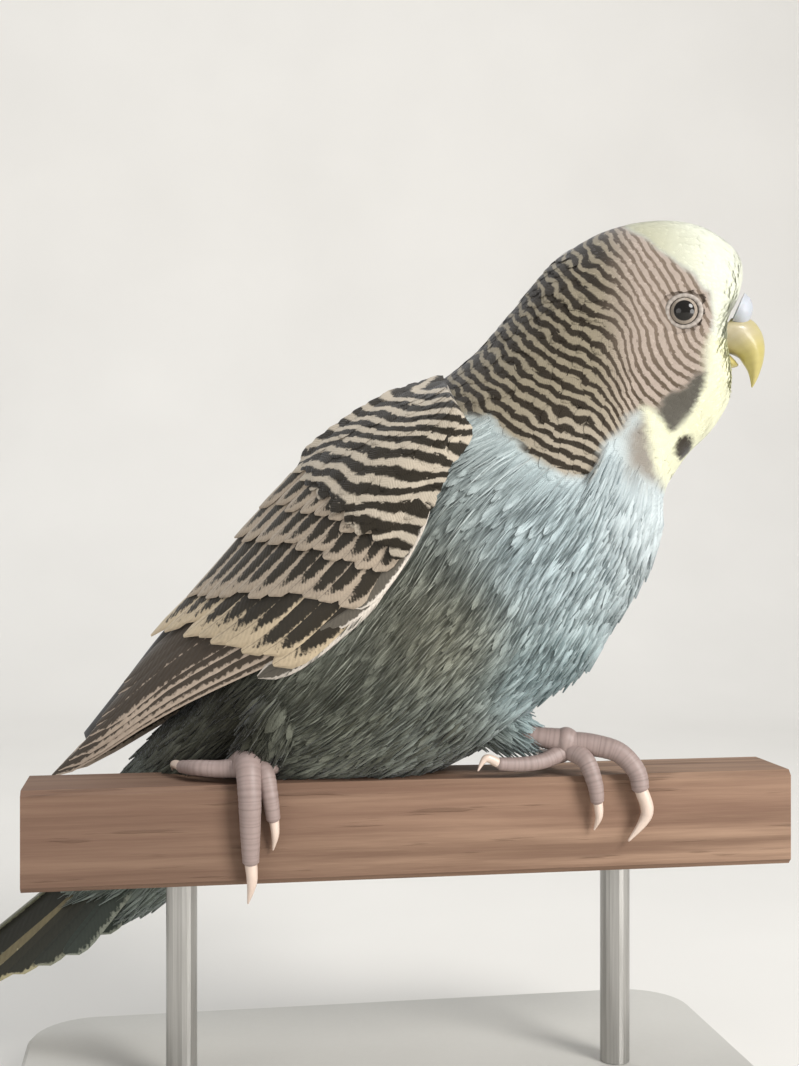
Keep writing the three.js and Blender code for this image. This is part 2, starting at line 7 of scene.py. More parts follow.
# %% Load the solids that set every size
import json
import math
import bmesh
import bpy
import numpy as np
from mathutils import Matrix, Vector

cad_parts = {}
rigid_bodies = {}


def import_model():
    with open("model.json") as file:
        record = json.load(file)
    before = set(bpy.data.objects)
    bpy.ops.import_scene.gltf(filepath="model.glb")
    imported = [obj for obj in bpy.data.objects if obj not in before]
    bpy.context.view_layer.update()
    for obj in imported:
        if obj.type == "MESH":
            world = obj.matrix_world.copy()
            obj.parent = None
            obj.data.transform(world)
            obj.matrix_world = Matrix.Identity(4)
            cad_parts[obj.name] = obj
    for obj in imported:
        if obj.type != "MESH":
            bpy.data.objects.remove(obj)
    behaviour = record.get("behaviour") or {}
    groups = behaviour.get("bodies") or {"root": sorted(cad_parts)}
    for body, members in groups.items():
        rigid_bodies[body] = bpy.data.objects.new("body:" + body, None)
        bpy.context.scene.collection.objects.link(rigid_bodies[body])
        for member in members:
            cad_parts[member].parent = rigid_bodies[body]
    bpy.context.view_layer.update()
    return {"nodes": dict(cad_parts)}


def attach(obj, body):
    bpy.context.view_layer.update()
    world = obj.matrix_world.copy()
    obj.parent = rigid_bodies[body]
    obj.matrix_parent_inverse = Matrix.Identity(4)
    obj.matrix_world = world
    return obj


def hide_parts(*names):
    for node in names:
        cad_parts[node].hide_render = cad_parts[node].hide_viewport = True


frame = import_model()
print("solids:", len(frame["nodes"]))

# %% [markdown]
# ## One set of sizes
# The bird has its own axes: along its heading, out to its left, and up from the perch. Working in them
# keeps both sides of the bird alike, and one function carries the result to the model's axes, where X
# runs along the perch. Lengths are in millimetres until that last step, which turns them into metres.

# %% Sizes and the bird's own axes
BIRD_YAW = math.radians(-18)
BIRD_Y = 5.0
PERCH_TOP = 60.0
PERCH_HALF = 8.0
PERCH_HEIGHT = 16.5
EYE_AT = np.array([50.8, 9.7, 77.7])
TURN_COS, TURN_SIN = math.cos(BIRD_YAW), math.sin(BIRD_YAW)

def to_row(points):
    """From the bird's axes in millimetres to the model's axes in metres."""
    p = np.asarray(points, float)
    x = p[..., 0] * TURN_COS - p[..., 1] * TURN_SIN
    y = p[..., 0] * TURN_SIN + p[..., 1] * TURN_COS + BIRD_Y
    return np.stack([x, y, p[..., 2] + PERCH_TOP], -1) / 1000

def to_bird(points):
    """From the model's axes, heights above the perch, to the bird's axes, both in millimetres."""
    p = np.asarray(points, float)
    y = p[..., 1] - BIRD_Y
    return np.stack([p[..., 0] * TURN_COS + y * TURN_SIN, -p[..., 0] * TURN_SIN + y * TURN_COS,
                     p[..., 2]], -1)

def ramp(x, low, high):
    """0 below low, 1 above high, and a soft step between."""
    t = np.clip((np.asarray(x, float) - low) / (high - low), 0, 1)
    return t * t * (3 - 2 * t)

def srgb(r, g, b):
    """A colour given as a painter reads it off a swatch, 0 to 255, in the renderer's own scale."""
    c = np.array([r, g, b], float) / 255
    return np.where(c <= 0.04045, c / 12.92, ((c + 0.055) / 1.055) ** 2.4)

def unit(v):
    """Arrows of any length as arrows of length 1."""
    return v / np.maximum(np.linalg.norm(v, axis=-1, keepdims=True), 1e-9)

print("one bird millimetre in the model's axes, m:", np.ptp(to_row([[0, 0, 0], [0, 0, 1]]), axis=0)[2])

# %% [markdown]
# ## Meshes from arrays
# Most pieces here are rings of points joined to their neighbours. A helper turns such arrays into a mesh
# at once, which is far quicker than adding faces one at a time, and it can store numbers on each point,
# which the materials read later.

# %% Mesh helpers
def store(mesh, numbers):
    """Keeps three numbers on each point of a mesh, under each given name."""
    for key, values in numbers.items():
        layer = mesh.attributes.new(key, "FLOAT_VECTOR", "POINT")
        layer.data.foreach_set("vector", np.asarray(values, np.float32).ravel())

def make_piece(name, points, faces, numbers=None):
    """A smooth-shaded object from points and faces."""
    mesh = bpy.data.meshes.new(name)
    mesh.from_pydata([tuple(p) for p in points], [], [tuple(f) for f in faces])
    mesh.update()
    store(mesh, numbers or {})
    mesh.polygons.foreach_set("use_smooth", [True] * len(mesh.polygons))
    piece = bpy.data.objects.new(name, mesh)
    bpy.context.scene.collection.objects.link(piece)
    return piece

def ring_faces(rings, around):
    """Quads between rings of points, and one face at each end."""
    faces = []
    for r in range(rings - 1):
        for k in range(around):
            a, b = r * around + k, r * around + (k + 1) % around
            faces.append((a, b, b + around, a + around))
    end = (rings - 1) * around
    return faces + [list(range(around))[::-1], list(range(end, end + around))]

def outward(piece):
    """Turns the faces of a closed piece outwards."""
    b = bmesh.new()
    b.from_mesh(piece.data)
    bmesh.ops.remove_doubles(b, verts=b.verts, dist=1e-7)
    bmesh.ops.recalc_face_normals(b, faces=b.faces)
    b.to_mesh(piece.data)
    b.free()
    return piece

def mesh_points(mesh):
    p = np.empty(len(mesh.vertices) * 3, np.float32)
    mesh.vertices.foreach_get("co", p)
    return p.reshape(-1, 3)

def points_of(piece):
    """The points of a finished piece, in the bird's axes."""
    return to_bird(mesh_points(piece.data) * 1000 - [0, 0, PERCH_TOP])

def baked(piece, name):
    """The piece as its modifiers leave it, as a plain mesh."""
    seen = piece.evaluated_get(bpy.context.evaluated_depsgraph_get())
    mesh = bpy.data.meshes.new_from_object(seen)
    mesh.name = name
    old = piece.data
    piece.modifiers.clear()
    piece.data = mesh
    bpy.data.meshes.remove(old)
    piece.name = name
    return piece

print("faces of a tube with 3 rings of 4 points:", len(ring_faces(3, 4)))

# %% [markdown]
# ## Finishes
# A material is a small graph of nodes. Written out by hand each node takes many lines, so one helper
# adds a node, sets its values and wires its inputs. Every finish below is built with it: none is a flat
# colour, because feathers, horn, skin and wood all vary over a fraction of a millimetre.

# %% A helper for building materials
class Graph:
    """A node tree, with one call that adds a node, sets it and wires it."""
    def __init__(self, tree):
        self.tree = tree

    def node(self, kind, inputs=None, out=0, **settings):
        n = self.tree.nodes.new(kind)
        for key, value in settings.items():
            setattr(n, key, value)
        for key, value in (inputs or {}).items():
            if hasattr(value, "is_linked"):
                self.tree.links.new(value, n.inputs[key])
            else:
                n.inputs[key].default_value = value
        return n.outputs[out]

class Finish(Graph):
    """A material: its shader's fixed values, and helpers for the nodes that it uses most."""
    def __init__(self, name, rough=0.6, **shader):
        self.mat = bpy.data.materials.new(name)
        self.mat.use_nodes = True
        super().__init__(self.mat.node_tree)
        self.bsdf = self.tree.nodes["Principled BSDF"]
        self.bsdf.inputs["Roughness"].default_value = rough
        for key, value in shader.items():
            self.bsdf.inputs[key.replace("_", " ")].default_value = value

    def math(self, operation, a, b=0.0, c=0.0, clamp=False):
        return self.node("ShaderNodeMath", {0: a, 1: b, 2: c}, operation=operation, use_clamp=clamp)

    def step(self, value, low, high):
        return self.node("ShaderNodeMapRange", {"Value": value, "From Min": low, "From Max": high},
                         interpolation_type="SMOOTHSTEP")

    def mix(self, factor, a, b):
        a, b = (c if hasattr(c, "is_linked") else (*c, 1) for c in (a, b))
        return self.node("ShaderNodeMix", {0: factor, 6: a, 7: b}, 2, data_type="RGBA")

    def number(self, name, part=None):
        """An attribute of the surface, whole or one of its three parts."""
        whole = self.node("ShaderNodeAttribute", out="Vector", attribute_name=name)
        return whole if part is None else self.node("ShaderNodeSeparateXYZ", {0: whole}, part)

    def place(self, scale=(1, 1, 1)):
        """Object coordinates, stretched."""
        where = self.node("ShaderNodeTexCoord", out="Object")
        return self.node("ShaderNodeMapping", {"Vector": where, "Scale": scale})

    def noise(self, where, scale, detail=3.0, rough=0.6):
        return self.node("ShaderNodeTexNoise", {"Vector": where, "Scale": scale, "Detail": detail,
                                                "Roughness": rough})

    def done(self, colour, bump=None, strength=0.3, distance=0.0002, rough=None):
        """Wires the colour, the relief and the roughness to the shader."""
        if bump is not None:
            bump = self.node("ShaderNodeBump", {"Height": bump, "Strength": strength, "Distance": distance})
        for name, value in (("Base Color", colour), ("Roughness", rough), ("Normal", bump)):
            if value is not None:
                self.tree.links.new(value, self.bsdf.inputs[name])
        return self.mat

print("what a finish can do:", [name for name in vars(Finish) if name[0] != "_"])

# %% [markdown]
# ## The body's shape
# The outline of the body is a row of stations from the bill to the tail, each with a back point, a
# belly point and a half-width. A smooth curve through them gives a ring of the body anywhere between.
# The solids were made from the same stations, so the skin can sit inside them by exactly the depth of
# its feathers.

# %% Stations of the body and points on it
FACE_NARROWS, FACE_DIP = 1.9, 2.8  # how far the face draws in to the bill, and dips behind it, in mm
# a back point (along, up), a belly point (along, up), and the half-width
STATIONS = np.array([
    [61.4, 82.9, 57.4, 73.4, 5.6], [60.8, 88.3, 58.1, 68.5, 8.8], [57.7, 91.9, 59.0, 64.5, 10.4],
    [53.2, 94.5, 57.7, 61.1, 11.6], [47.3, 95.4, 55.3, 57.7, 12.3], [40.8, 94.7, 53.0, 55.7, 12.9],
    [34.5, 92.4, 51.0, 53.0, 13.3], [28.2, 87.9, 49.3, 50.3, 13.8], [22.4, 81.3, 48.5, 48.2, 14.6],
    [16.0, 74.1, 47.6, 45.1, 16.0], [9.3, 68.6, 46.1, 40.0, 18.0], [2.2, 65.2, 43.9, 34.8, 20.0],
    [-4.1, 60.4, 40.5, 28.8, 21.5], [-9.5, 52.8, 35.7, 21.3, 22.3], [-15.0, 44.8, 28.5, 14.7, 22.3],
    [-19.5, 36.7, 19.8, 7.5, 21.5], [-23.6, 29.2, 9.3, 1.7, 20.0], [-27.3, 21.8, -2.3, -1.2, 18.0],
    [-31.4, 14.5, -14.1, -5.1, 15.5], [-37.8, 8.2, -25.1, -12.6, 12.6],
    [-44.4, 1.4, -34.4, -19.2, 10.0], [-51.0, -6.6, -42.6, -25.0, 7.6],
    [-58.0, -16.2, -52.4, -28.4, 4.4]])

def smooth_row(rows, q):
    """A row of the table at a fractional row number, by a smooth curve through its rows."""
    q = np.asarray(q, float)
    last = len(rows) - 1
    i = np.clip(np.floor(q).astype(int), 0, last - 1)
    t = (q - i)[..., None]
    at = lambda k: rows[np.clip(k, 0, last)]
    a, b, d, e = at(i - 1), at(i), at(i + 1), at(i + 2)
    m0, m1 = (d - a) / 2, (e - b) / 2
    return ((2 * t**3 - 3 * t**2 + 1) * b + (t**3 - 2 * t**2 + t) * m0
            + (3 * t**2 - 2 * t**3) * d + (t**3 - t**2) * m1)

def body(q, v, grow=0.0):
    """A point of the body: station q, angle v from the back (0) round the left side to the belly."""
    q, v = np.broadcast_arrays(np.asarray(q, float), np.asarray(v, float))
    row = smooth_row(STATIONS, q)
    grow = (grow - FACE_NARROWS * np.exp(-(q / 0.55) ** 2))[..., None]
    back = np.stack([row[..., 0], 0 * q, row[..., 1]], -1)
    front = np.stack([row[..., 2], 0 * q, row[..., 3]], -1)
    up = back - front
    half = np.linalg.norm(up, axis=-1)[..., None] / 2 + grow
    side = np.zeros_like(up)
    side[..., 1] = row[..., 4] + grow[..., 0]
    p = (back + front) / 2 + unit(up) * half * np.cos(v)[..., None] + side * np.sin(v)[..., None]
    near_bill = np.exp(-(p[..., 1] / 12) ** 2 - ((p[..., 2] - 74.6) / 4.2) ** 2)
    p[..., 0] -= FACE_DIP * near_bill * ramp(q, 3.2, 1.2)
    return p

print("body from bill to tail root, mm:", round(float(np.linalg.norm(body(0, 0) - body(22, 0)))))

# %% [markdown]
# ## Asking the body for directions
# Feathers need more than a place. They need to know which way they lie, which way is out, how wide the
# body is under a wing, and where the perch is. Each is worked out from the same curve, so nothing has to
# be measured on a mesh.

# %% Directions on the body, its width, and room for the perch
def body_frame(q, v, grow=0.0):
    """The point, the way its feathers lie (towards the tail) and the way out of the body."""
    p = body(q, v, grow)
    lie = unit(body(q + 0.05, v, grow) - body(q - 0.05, v, grow))
    round_ = unit(body(q, v + 0.03, grow) - body(q, v - 0.03, grow))
    out = unit(np.cross(round_, lie))
    middle = body(q, 0, grow) / 2 + body(q, math.pi, grow) / 2
    out = out * np.sign(np.sum(out * (p - middle), -1))[..., None]
    return p, lie, out

def half_width(a, u):
    """The body's half-width at points of its middle plane, and 0 outside it."""
    a, u = np.asarray(a, float).ravel(), np.asarray(u, float).ravel()
    pace = 0.25
    qs = np.arange(6, 22.01, pace)
    rows = smooth_row(STATIONS, qs)
    side = ((rows[None, :, 2] - rows[None, :, 0]) * (u[:, None] - rows[None, :, 1])
            - (rows[None, :, 3] - rows[None, :, 1]) * (a[:, None] - rows[None, :, 0]))
    cross = side[:, :-1] * side[:, 1:] <= 0
    i = np.argmax(cross, 1)
    k = np.arange(len(a))
    s0, s1 = side[k, i], side[k, i + 1]
    row = smooth_row(STATIONS, qs[i] + pace * s0 / np.where(s0 == s1, 1, s0 - s1))
    da, du = row[:, 2] - row[:, 0], row[:, 3] - row[:, 1]
    f = ((a - row[:, 0]) * da + (u - row[:, 1]) * du) / (da**2 + du**2)
    inside = cross.any(1) & (f > 0) & (f < 1)
    return np.where(inside, row[:, 4] * np.sqrt(np.clip(1 - (1 - 2 * f) ** 2, 0, 1)), 0)

def clear_of_perch(points, gap=0.35):
    """Moves points (bird's axes) that would lie in the perch out by its nearest face."""
    p = np.array(points, float)
    y = p[..., 0] * TURN_SIN + p[..., 1] * TURN_COS + BIRD_Y
    inside = (p[..., 2] < gap) & (p[..., 2] > -PERCH_HEIGHT - gap) & (np.abs(y) < PERCH_HALF + gap)
    rise, back, front = gap - p[..., 2], PERCH_HALF + gap - y, PERCH_HALF + gap + y
    least = np.minimum(rise, np.minimum(back, front))
    push = np.where(inside & (back == least), back, np.where(inside & (front == least), -front, 0))
    p[..., 2] += np.where(inside & (rise == least), rise, 0)
    p[..., 0] += push * TURN_SIN
    p[..., 1] += push * TURN_COS
    return p

print("half the body's width at the shoulder, mm:", half_width([0], [45]).round(1))

# %% [markdown]
# ## What the plumage is marked with
# A budgerigar's head is crossed by fine waves of black on buff: circles about the cheek in front, wider
# and bolder ones behind. Its forehead is bare of them, and its breast is soft blue-grey drawn in hairs.
# The marks are written once, as formulas of place, so the skin and each feather on it agree.

# %% Where each marking lies
CHEEK = (55.3, 74.8)
HOOD_TOP = (47.5, 94.4)
FACE_EDGE = [(40.0, 99.0), (41.6, 93.3), (44.4, 90.9), (46.5, 88.6), (50.0, 86.0), (52.8, 83.8),
             (54.9, 80.9), (55.6, 76.2), (55.3, 73.4), (55.0, 70.7), (54.6, 68.2), (54.0, 65.4)]
HOOD = FACE_EDGE + [(52.2, 61.5), (49.4, 58.8), (47.2, 60.6), (44.1, 62.3), (41.5, 60.3),
                    (36.0, 50.5), (32.5, 50.2), (29.6, 51.6), (26.1, 53.8), (22.5, 57.0),
                    (19.3, 60.3), (14.7, 60.7), (11.1, 58.9), (6.0, 59.5), (-6.0, 53.0),
                    (-20.0, 38.0), (-26.0, 40.0), (0.0, 80.0), (25.0, 104.0)]
BIB = [(44.1, 62.3), (47.2, 60.6), (49.4, 58.8), (52.2, 61.5), (54.0, 65.4), (54.6, 68.2),
       (55.3, 73.4), (62.0, 76.0), (66.0, 66.0), (58.0, 50.0), (48.3, 48.9), (47.6, 50.7),
       (46.5, 54.3), (45.1, 58.6)]
COLLAR = [(44.5, 61.5), (41.5, 58.0), (42.0, 52.5), (45.0, 50.0), (47.8, 49.5), (46.5, 54.5)]
CHEEK_PATCH = [(54.4, 68.3), (54.0, 65.4), (52.2, 61.5), (49.4, 58.8), (48.2, 58.7), (46.9, 61.6),
               (48.3, 64.1), (50.8, 65.5), (52.9, 67.6)]
THROAT_SPOT = (50.9, 56.2, 0.35)  # along, up, lean
BUFF, CHEEK_BUFF, NECK_BUFF = (138, 128, 108), (170, 155, 143), (156, 145, 128)
NAPE_BLACK, EYE_GREY, CHEEK_GREY = (38, 29, 14), (116, 101, 87), (80, 67, 52)
# Each named swatch: where it lies (along, up), its paler and its darker colour.
SWATCHES = {
    "breast, front": (46, 42, (206, 215, 216), (182, 192, 194)),
    "breast, middle": (31, 37, (200, 213, 215), (155, 168, 170)),
    "flank": (10.5, 24.4, (160, 161, 146), (101, 101, 86)),
    "belly, middle": (-5, 10, (142, 145, 131), (82, 83, 69)),
    # the swatch behind the belly, low under the wing, is painted shade
    "belly behind, painted shade": (-24, 8, (56, 55, 41), (32, 30, 18)),
    "belly, low": (9, 6.9, (134, 140, 131), (84, 85, 73)),
    "belly, front": (31, 14, (178, 196, 198), (132, 150, 152)),
    "rump": (-34, 8, (86, 87, 75), (50, 50, 38)),
    "under the tail": (-42, -18, (150, 160, 152), (100, 108, 98)),
}

print("swatches of plain plumage:", len(SWATCHES))

# %% [markdown]
# ## From outlines to marks
# A point's colour is mixed from the swatches round it, the nearer ones counting more. Over that the hood,
# the collar, the bib, the face and the cheek patches are laid one after another, each fading in over a
# feather's width. The bars are only a count that rises across the head: a bar is wherever that count is
# close to a whole number. Slow waves shift both, because no real bar runs straight.

# %% Colours and bars at any point of the coat
def inside(shape, a, u):
    """Signed distance in mm to a closed outline: positive inside."""
    pts = np.array(shape, float)
    best = np.full(a.shape, 1e9)
    hit = np.zeros(a.shape, bool)
    for (x0, y0), (x1, y1) in zip(pts, np.roll(pts, -1, 0)):
        dx, dy = x1 - x0, y1 - y0
        t = np.clip(((a - x0) * dx + (u - y0) * dy) / (dx * dx + dy * dy), 0, 1)
        best = np.minimum(best, np.hypot(a - x0 - t * dx, u - y0 - t * dy))
        if dy:
            hit ^= ((y0 > u) != (y1 > u)) & (a < x0 + (u - y0) * dx / dy)
    return np.where(hit, best, -best)

def wobble(p, size, seed):
    """Slow waves with no pattern to them, about -1 to 1."""
    r = np.random.default_rng(seed)
    total = 0
    for _ in range(5):
        way = r.normal(size=3) / size
        total = total + np.sin(p @ way + r.uniform(0, 6.3))
    return total / 3

def bar_phase(p):
    """Counts the dark bars of the head: a whole number at the middle of each."""
    a, u = p[:, 0], p[:, 2]
    rise = u - CHEEK[1]
    cheek = np.where(rise < 0, np.hypot(a - CHEEK[0], rise), CHEEK[0] - a - 0.577 * rise) / 1.5
    hood = np.hypot(a - HOOD_TOP[0], u - HOOD_TOP[1]) / 2.05
    sway = 0.22 * wobble(p, 2.2, 3) + 0.16 * wobble(p, 0.9, 4)
    return hood + (cheek - hood) * ramp(a, 35, 44) + sway * (0.45 + 0.55 * ramp(a, 44, 34))

def markings(p):
    """Pale and dark colours, how strong the bars are, and how wide, at points in the bird's axes."""
    a, u = p[:, 0] + 0.55 * wobble(p, 1.0, 1), p[:, 2] + 0.55 * wobble(p, 1.0, 2)
    light, dark, total = np.zeros((len(p), 3)), np.zeros((len(p), 3)), np.zeros(len(p))
    for x, y, pale, deep in SWATCHES.values():
        w = 1 / (np.hypot(a - x, u - y) ** 3 + 30)
        light += w[:, None] * srgb(*pale)
        dark += w[:, None] * srgb(*deep)
        total += w
    light, dark = light / total[:, None], dark / total[:, None]
    bars, duty = np.zeros(len(p)), np.full(len(p), 0.5)

    def lay(weight, pale, deep, strength, share):
        nonlocal light, dark, bars, duty
        w = weight[:, None]
        light, dark = light + (pale - light) * w, dark + (deep - dark) * w
        bars, duty = bars + (strength - bars) * weight, duty + (share - duty) * weight

    cheek = ramp(a, 36, 44)[:, None]
    low = ramp(u, 76, 62)[:, None]
    pale = srgb(*BUFF) * (1 - cheek) + cheek * srgb(*CHEEK_BUFF)
    pale = pale + (srgb(*NECK_BUFF) - pale) * (ramp(u, 66, 56) * ramp(a, 20, 32))[:, None]
    deep = srgb(*NAPE_BLACK) * (1 - cheek) + cheek * (srgb(*EYE_GREY) * (1 - low)
                                                      + low * srgb(*CHEEK_GREY))
    lay(ramp(inside(HOOD, a, u), -0.5, 0.7), pale, deep, 1.0,
        0.42 + 0.10 * ramp(a, 42, 34) + 0.10 * ramp(u - 1.1 * a, 34, 56))
    lay(ramp(inside(COLLAR, a, u), -2.0, 1.2), srgb(148, 141, 130), srgb(126, 120, 112), 0.0, 0.5)
    bib = srgb(230, 229, 196)
    lay(ramp(inside(BIB, a, u), -1.2, 0.8), bib, bib * 0.9, 0.0, 0.5)
    face = inside([*FACE_EDGE[:9], (62, 72), (72, 80), (66, 102), (40, 104)], a, u)
    crown = ramp(a, 56, 44)[:, None]
    lay(ramp(face, -0.5, 0.5), srgb(222, 224, 208) * (1 - crown) + crown * srgb(186, 184, 158),
        srgb(206, 207, 186) * (1 - crown) + crown * srgb(170, 168, 142), 0.0, 0.5)
    lay(ramp(inside(CHEEK_PATCH, a, u), -0.5, 0.5), srgb(104, 100, 92), srgb(62, 58, 48), 0.0, 0.5)
    c, s = math.cos(THROAT_SPOT[2]), math.sin(THROAT_SPOT[2])
    da, du = a - THROAT_SPOT[0], u - THROAT_SPOT[1]
    spot = np.hypot((da * c - du * s) / 1.25, (da * s + du * c) / 2.0)
    lay(ramp(spot, 1.15, 0.85) * (np.abs(p[:, 1]) > 1), srgb(50, 38, 14), srgb(34, 26, 8), 0.0, 0.5)
    return light, dark, bars, duty

print("marks at the crown:", [round(float(v[0]), 2) for v in markings(np.array([[48.0, 0.0, 95.0]]))[2:]])

# %% [markdown]
# ## The coat's material
# One material colours the skin and its feathers. Each point carries a pale and a dark colour, how far
# along the bars it is, and how strong they are. A feather also carries how the bars cross it, so that a
# bar runs on unbroken over its neighbours. Fine slanting barbs break every edge up.

# %% Coat and feather finishes
def plumage(name, feather=True):
    f = Finish(name, 0.72, Sheen_Weight=0.25, Sheen_Roughness=0.45, Sheen_Tint=(0.9, 0.93, 1, 1),
               Specular_IOR_Level=0.25)
    phase, strength = f.number("bars", 0), f.number("mix", 0)
    duty, chance = f.number("mix", 1), f.number("mix", 2)
    where = f.place()
    if feather:
        across, along = f.number("vane", 0), f.number("vane", 1)
        slant = f.math("MULTIPLY_ADD", f.math("ABSOLUTE", across), -2.2, f.math("MULTIPLY", along, 9.0))
        barbs = f.math("SINE", f.math("MULTIPLY", slant, 7.0))
    else:
        barbs = f.noise(where, 2600, 2, 0.7)
    rough = f.noise(where, 1500, 3, 0.7)
    phase = f.math("MULTIPLY_ADD", f.math("SUBTRACT", rough, 0.5), 0.22, phase)
    wave = f.math("PINGPONG", phase, 0.5)
    half = f.math("MULTIPLY", duty, 0.5)
    bar = f.node("ShaderNodeMapRange", {"Value": wave, "From Min": f.math("ADD", half, 0.07),
                 "From Max": f.math("SUBTRACT", half, 0.07)}, interpolation_type="SMOOTHSTEP")
    streak = f.math("MULTIPLY_ADD", barbs, 0.10, f.math("MULTIPLY", chance, 0.8))
    streak = f.math("MULTIPLY", f.math("ADD", streak, f.math("MULTIPLY", rough, 0.3)),
                    f.math("SUBTRACT", 1.0, strength))
    dark = f.math("MAXIMUM", f.math("MULTIPLY", bar, strength), streak, clamp=True)
    colour = f.mix(dark, f.number("light_tint"), f.number("dark_tint"))
    colour = f.mix(f.math("MULTIPLY", f.noise(where, 700, 2), 0.12), colour, (0.0, 0.0, 0.0))
    return f.done(colour, f.math("ADD", barbs, rough), 0.25, 0.00008)

SKIN = plumage("skin_under_feathers", feather=False)
COAT = plumage("contour_feathers")

def mark_piece(piece, marks, phase, chance=0.5, jitter=0.0, fade=lambda at: 1.0):
    """Stores on a piece's points the colours and bars that these finishes read."""
    at = points_of(piece)
    light, dark, strength, duty = marks(at)
    zero = np.zeros(len(at))
    store(piece.data, {"light_tint": light * fade(at), "dark_tint": dark,
                       "bars": np.stack([phase(at) + jitter, zero, zero], -1),
                       "mix": np.stack([strength, duty, zero + chance], -1)})

print("coat finishes:", SKIN.name, COAT.name)

# %% [markdown]
# ## The skin
# Under the feathers a bird's skin is one closed surface from the bill to the tail, with the thighs
# bulging from it. Here the body's rings and a lump for each thigh are joined by a voxel remesh, which
# leaves one surface with no seam. It lies a feather's depth inside the solids.

# %% Make the skin in one piece
DEPTH = 1.15
SKIN_GRAIN = 0.0007  # metres
THIGHS = [  # along the perch, across it, above it, and the radius there
    [(-17.5, -4.6, 15.0, 6.2), (-20.0, -4.8, 10.5, 4.6), (-22.6, -5.0, 7.4, 2.5)],
    [(11.5, 0.6, 13.0, 6.2), (16.6, -1.0, 10.0, 4.6), (20.6, -2.4, 7.6, 2.2)]]

def tube(path, radii, around=14, rounded=0.5):
    """Rings round a path with a soft end at each end: points and faces."""
    path, radii = np.asarray(path, float), np.asarray(radii, float)
    way = unit(np.gradient(path, axis=0))
    ends = [(path[0] - way[0] * radii[0] * rounded, radii[0] * 0.35)]
    ends += list(zip(path, radii)) + [(path[-1] + way[-1] * radii[-1] * rounded, radii[-1] * 0.35)]
    way = np.vstack([way[:1], way, way[-1:]])
    side = unit(np.cross(way, [0.31, 0.12, 0.94]))
    up = unit(np.cross(side, way))
    turn = np.arange(around) * 2 * math.pi / around
    rings = [p + r * (np.cos(turn)[:, None] * side[i] + np.sin(turn)[:, None] * up[i])
             for i, (p, r) in enumerate(ends)]
    return np.concatenate(rings), ring_faces(len(ends), around)

def joined(parts):
    """Several lists of points and faces as one."""
    points, faces, first = [], [], 0
    for p, f in parts:
        points.append(p)
        faces += [tuple(first + k for k in face) for face in f]
        first += len(p)
    return np.concatenate(points), faces

qs = np.linspace(0, 21.9, 150)
vs = np.arange(80) * 2 * math.pi / 80
hull = body(qs[:, None], vs[None, :], -DEPTH).reshape(-1, 3)
lumps = [(clear_of_perch(hull, 0.6), ring_faces(150, 80))]
for thigh in THIGHS:
    t = np.array(thigh)
    p, f = tube(to_bird(t[:, :3]), t[:, 3] - 1.9, 20)
    lumps.append((clear_of_perch(p, 0.6), f))
points, faces = joined(lumps)
skin = outward(make_piece("skin", to_row(points), faces))
remesh = skin.modifiers.new("one surface", "REMESH")
remesh.mode = "VOXEL"
remesh.voxel_size = SKIN_GRAIN
remesh.use_smooth_shade = True
relax = skin.modifiers.new("relaxed", "SMOOTH")
relax.factor, relax.iterations = 0.5, 3
baked(skin, "skin")

mark_piece(skin, markings, bar_phase)
skin.data.materials.append(SKIN)
print("skin faces:", len(skin.data.polygons))

# %% [markdown]
# ## One feather and one hair, to be laid many times
# A contour feather is a thin vane, rounded at its end and bowed so that its tip lies down again. Each
# is a closed sliver of fewer than twenty faces. The hairs between are the loose barbs that give a
# budgerigar's breast its silky look.

# %% Model the small feather and the hair
CRISP = 1.2  # edges that turn more than this, in radians, stay crisp, so a vane's face shades evenly

def sliver(name, stations, bow):
    """A closed sliver along Y from 0 to 1: each station is how far along, half-width, half-thickness."""
    points, vane, faces = [], [], []
    for along, wide, thick in stations:
        lift = bow * math.sin(math.pi * min(along, 1)) - bow * 0.5 * along * along
        for x, z in ((-wide, -0.12 * wide), (0, thick), (wide, -0.12 * wide), (0, -thick)):
            points.append((x, along, z + lift))
            vane.append((x / 0.5, along, z))
    faces = ring_faces(len(stations), 4)
    piece = outward(make_piece(name, points, faces, {"vane": vane}))
    piece.data.set_sharp_from_angle(angle=CRISP)
    piece.hide_render = True
    return piece

feather_model = sliver("one_feather", [(0, 0.16, 0.06), (0.3, 0.44, 0.05), (0.62, 0.5, 0.04),
                                       (0.86, 0.36, 0.03), (1.0, 0.10, 0.02)], 0.16)
hair_model = sliver("one_hair", [(0, 0.3, 0.3), (0.5, 0.5, 0.3), (1.0, 0.06, 0.06)], 0.22)

# %% [markdown]
# ## Laying the coat
# Geometry Nodes put a copy of the small feather on every point of a mesh, turned and sized by numbers
# stored there. The copies are then made real, so that each keeps its own colours, and each gets a small
# patch of its own on a map, at the place of its root. The tree's inputs are the feather, the
# material, how much the feathers differ, and a seed.

# %% Build the node tree that lays feathers
PATCH = 0.003  # how wide each feather's patch is on the map

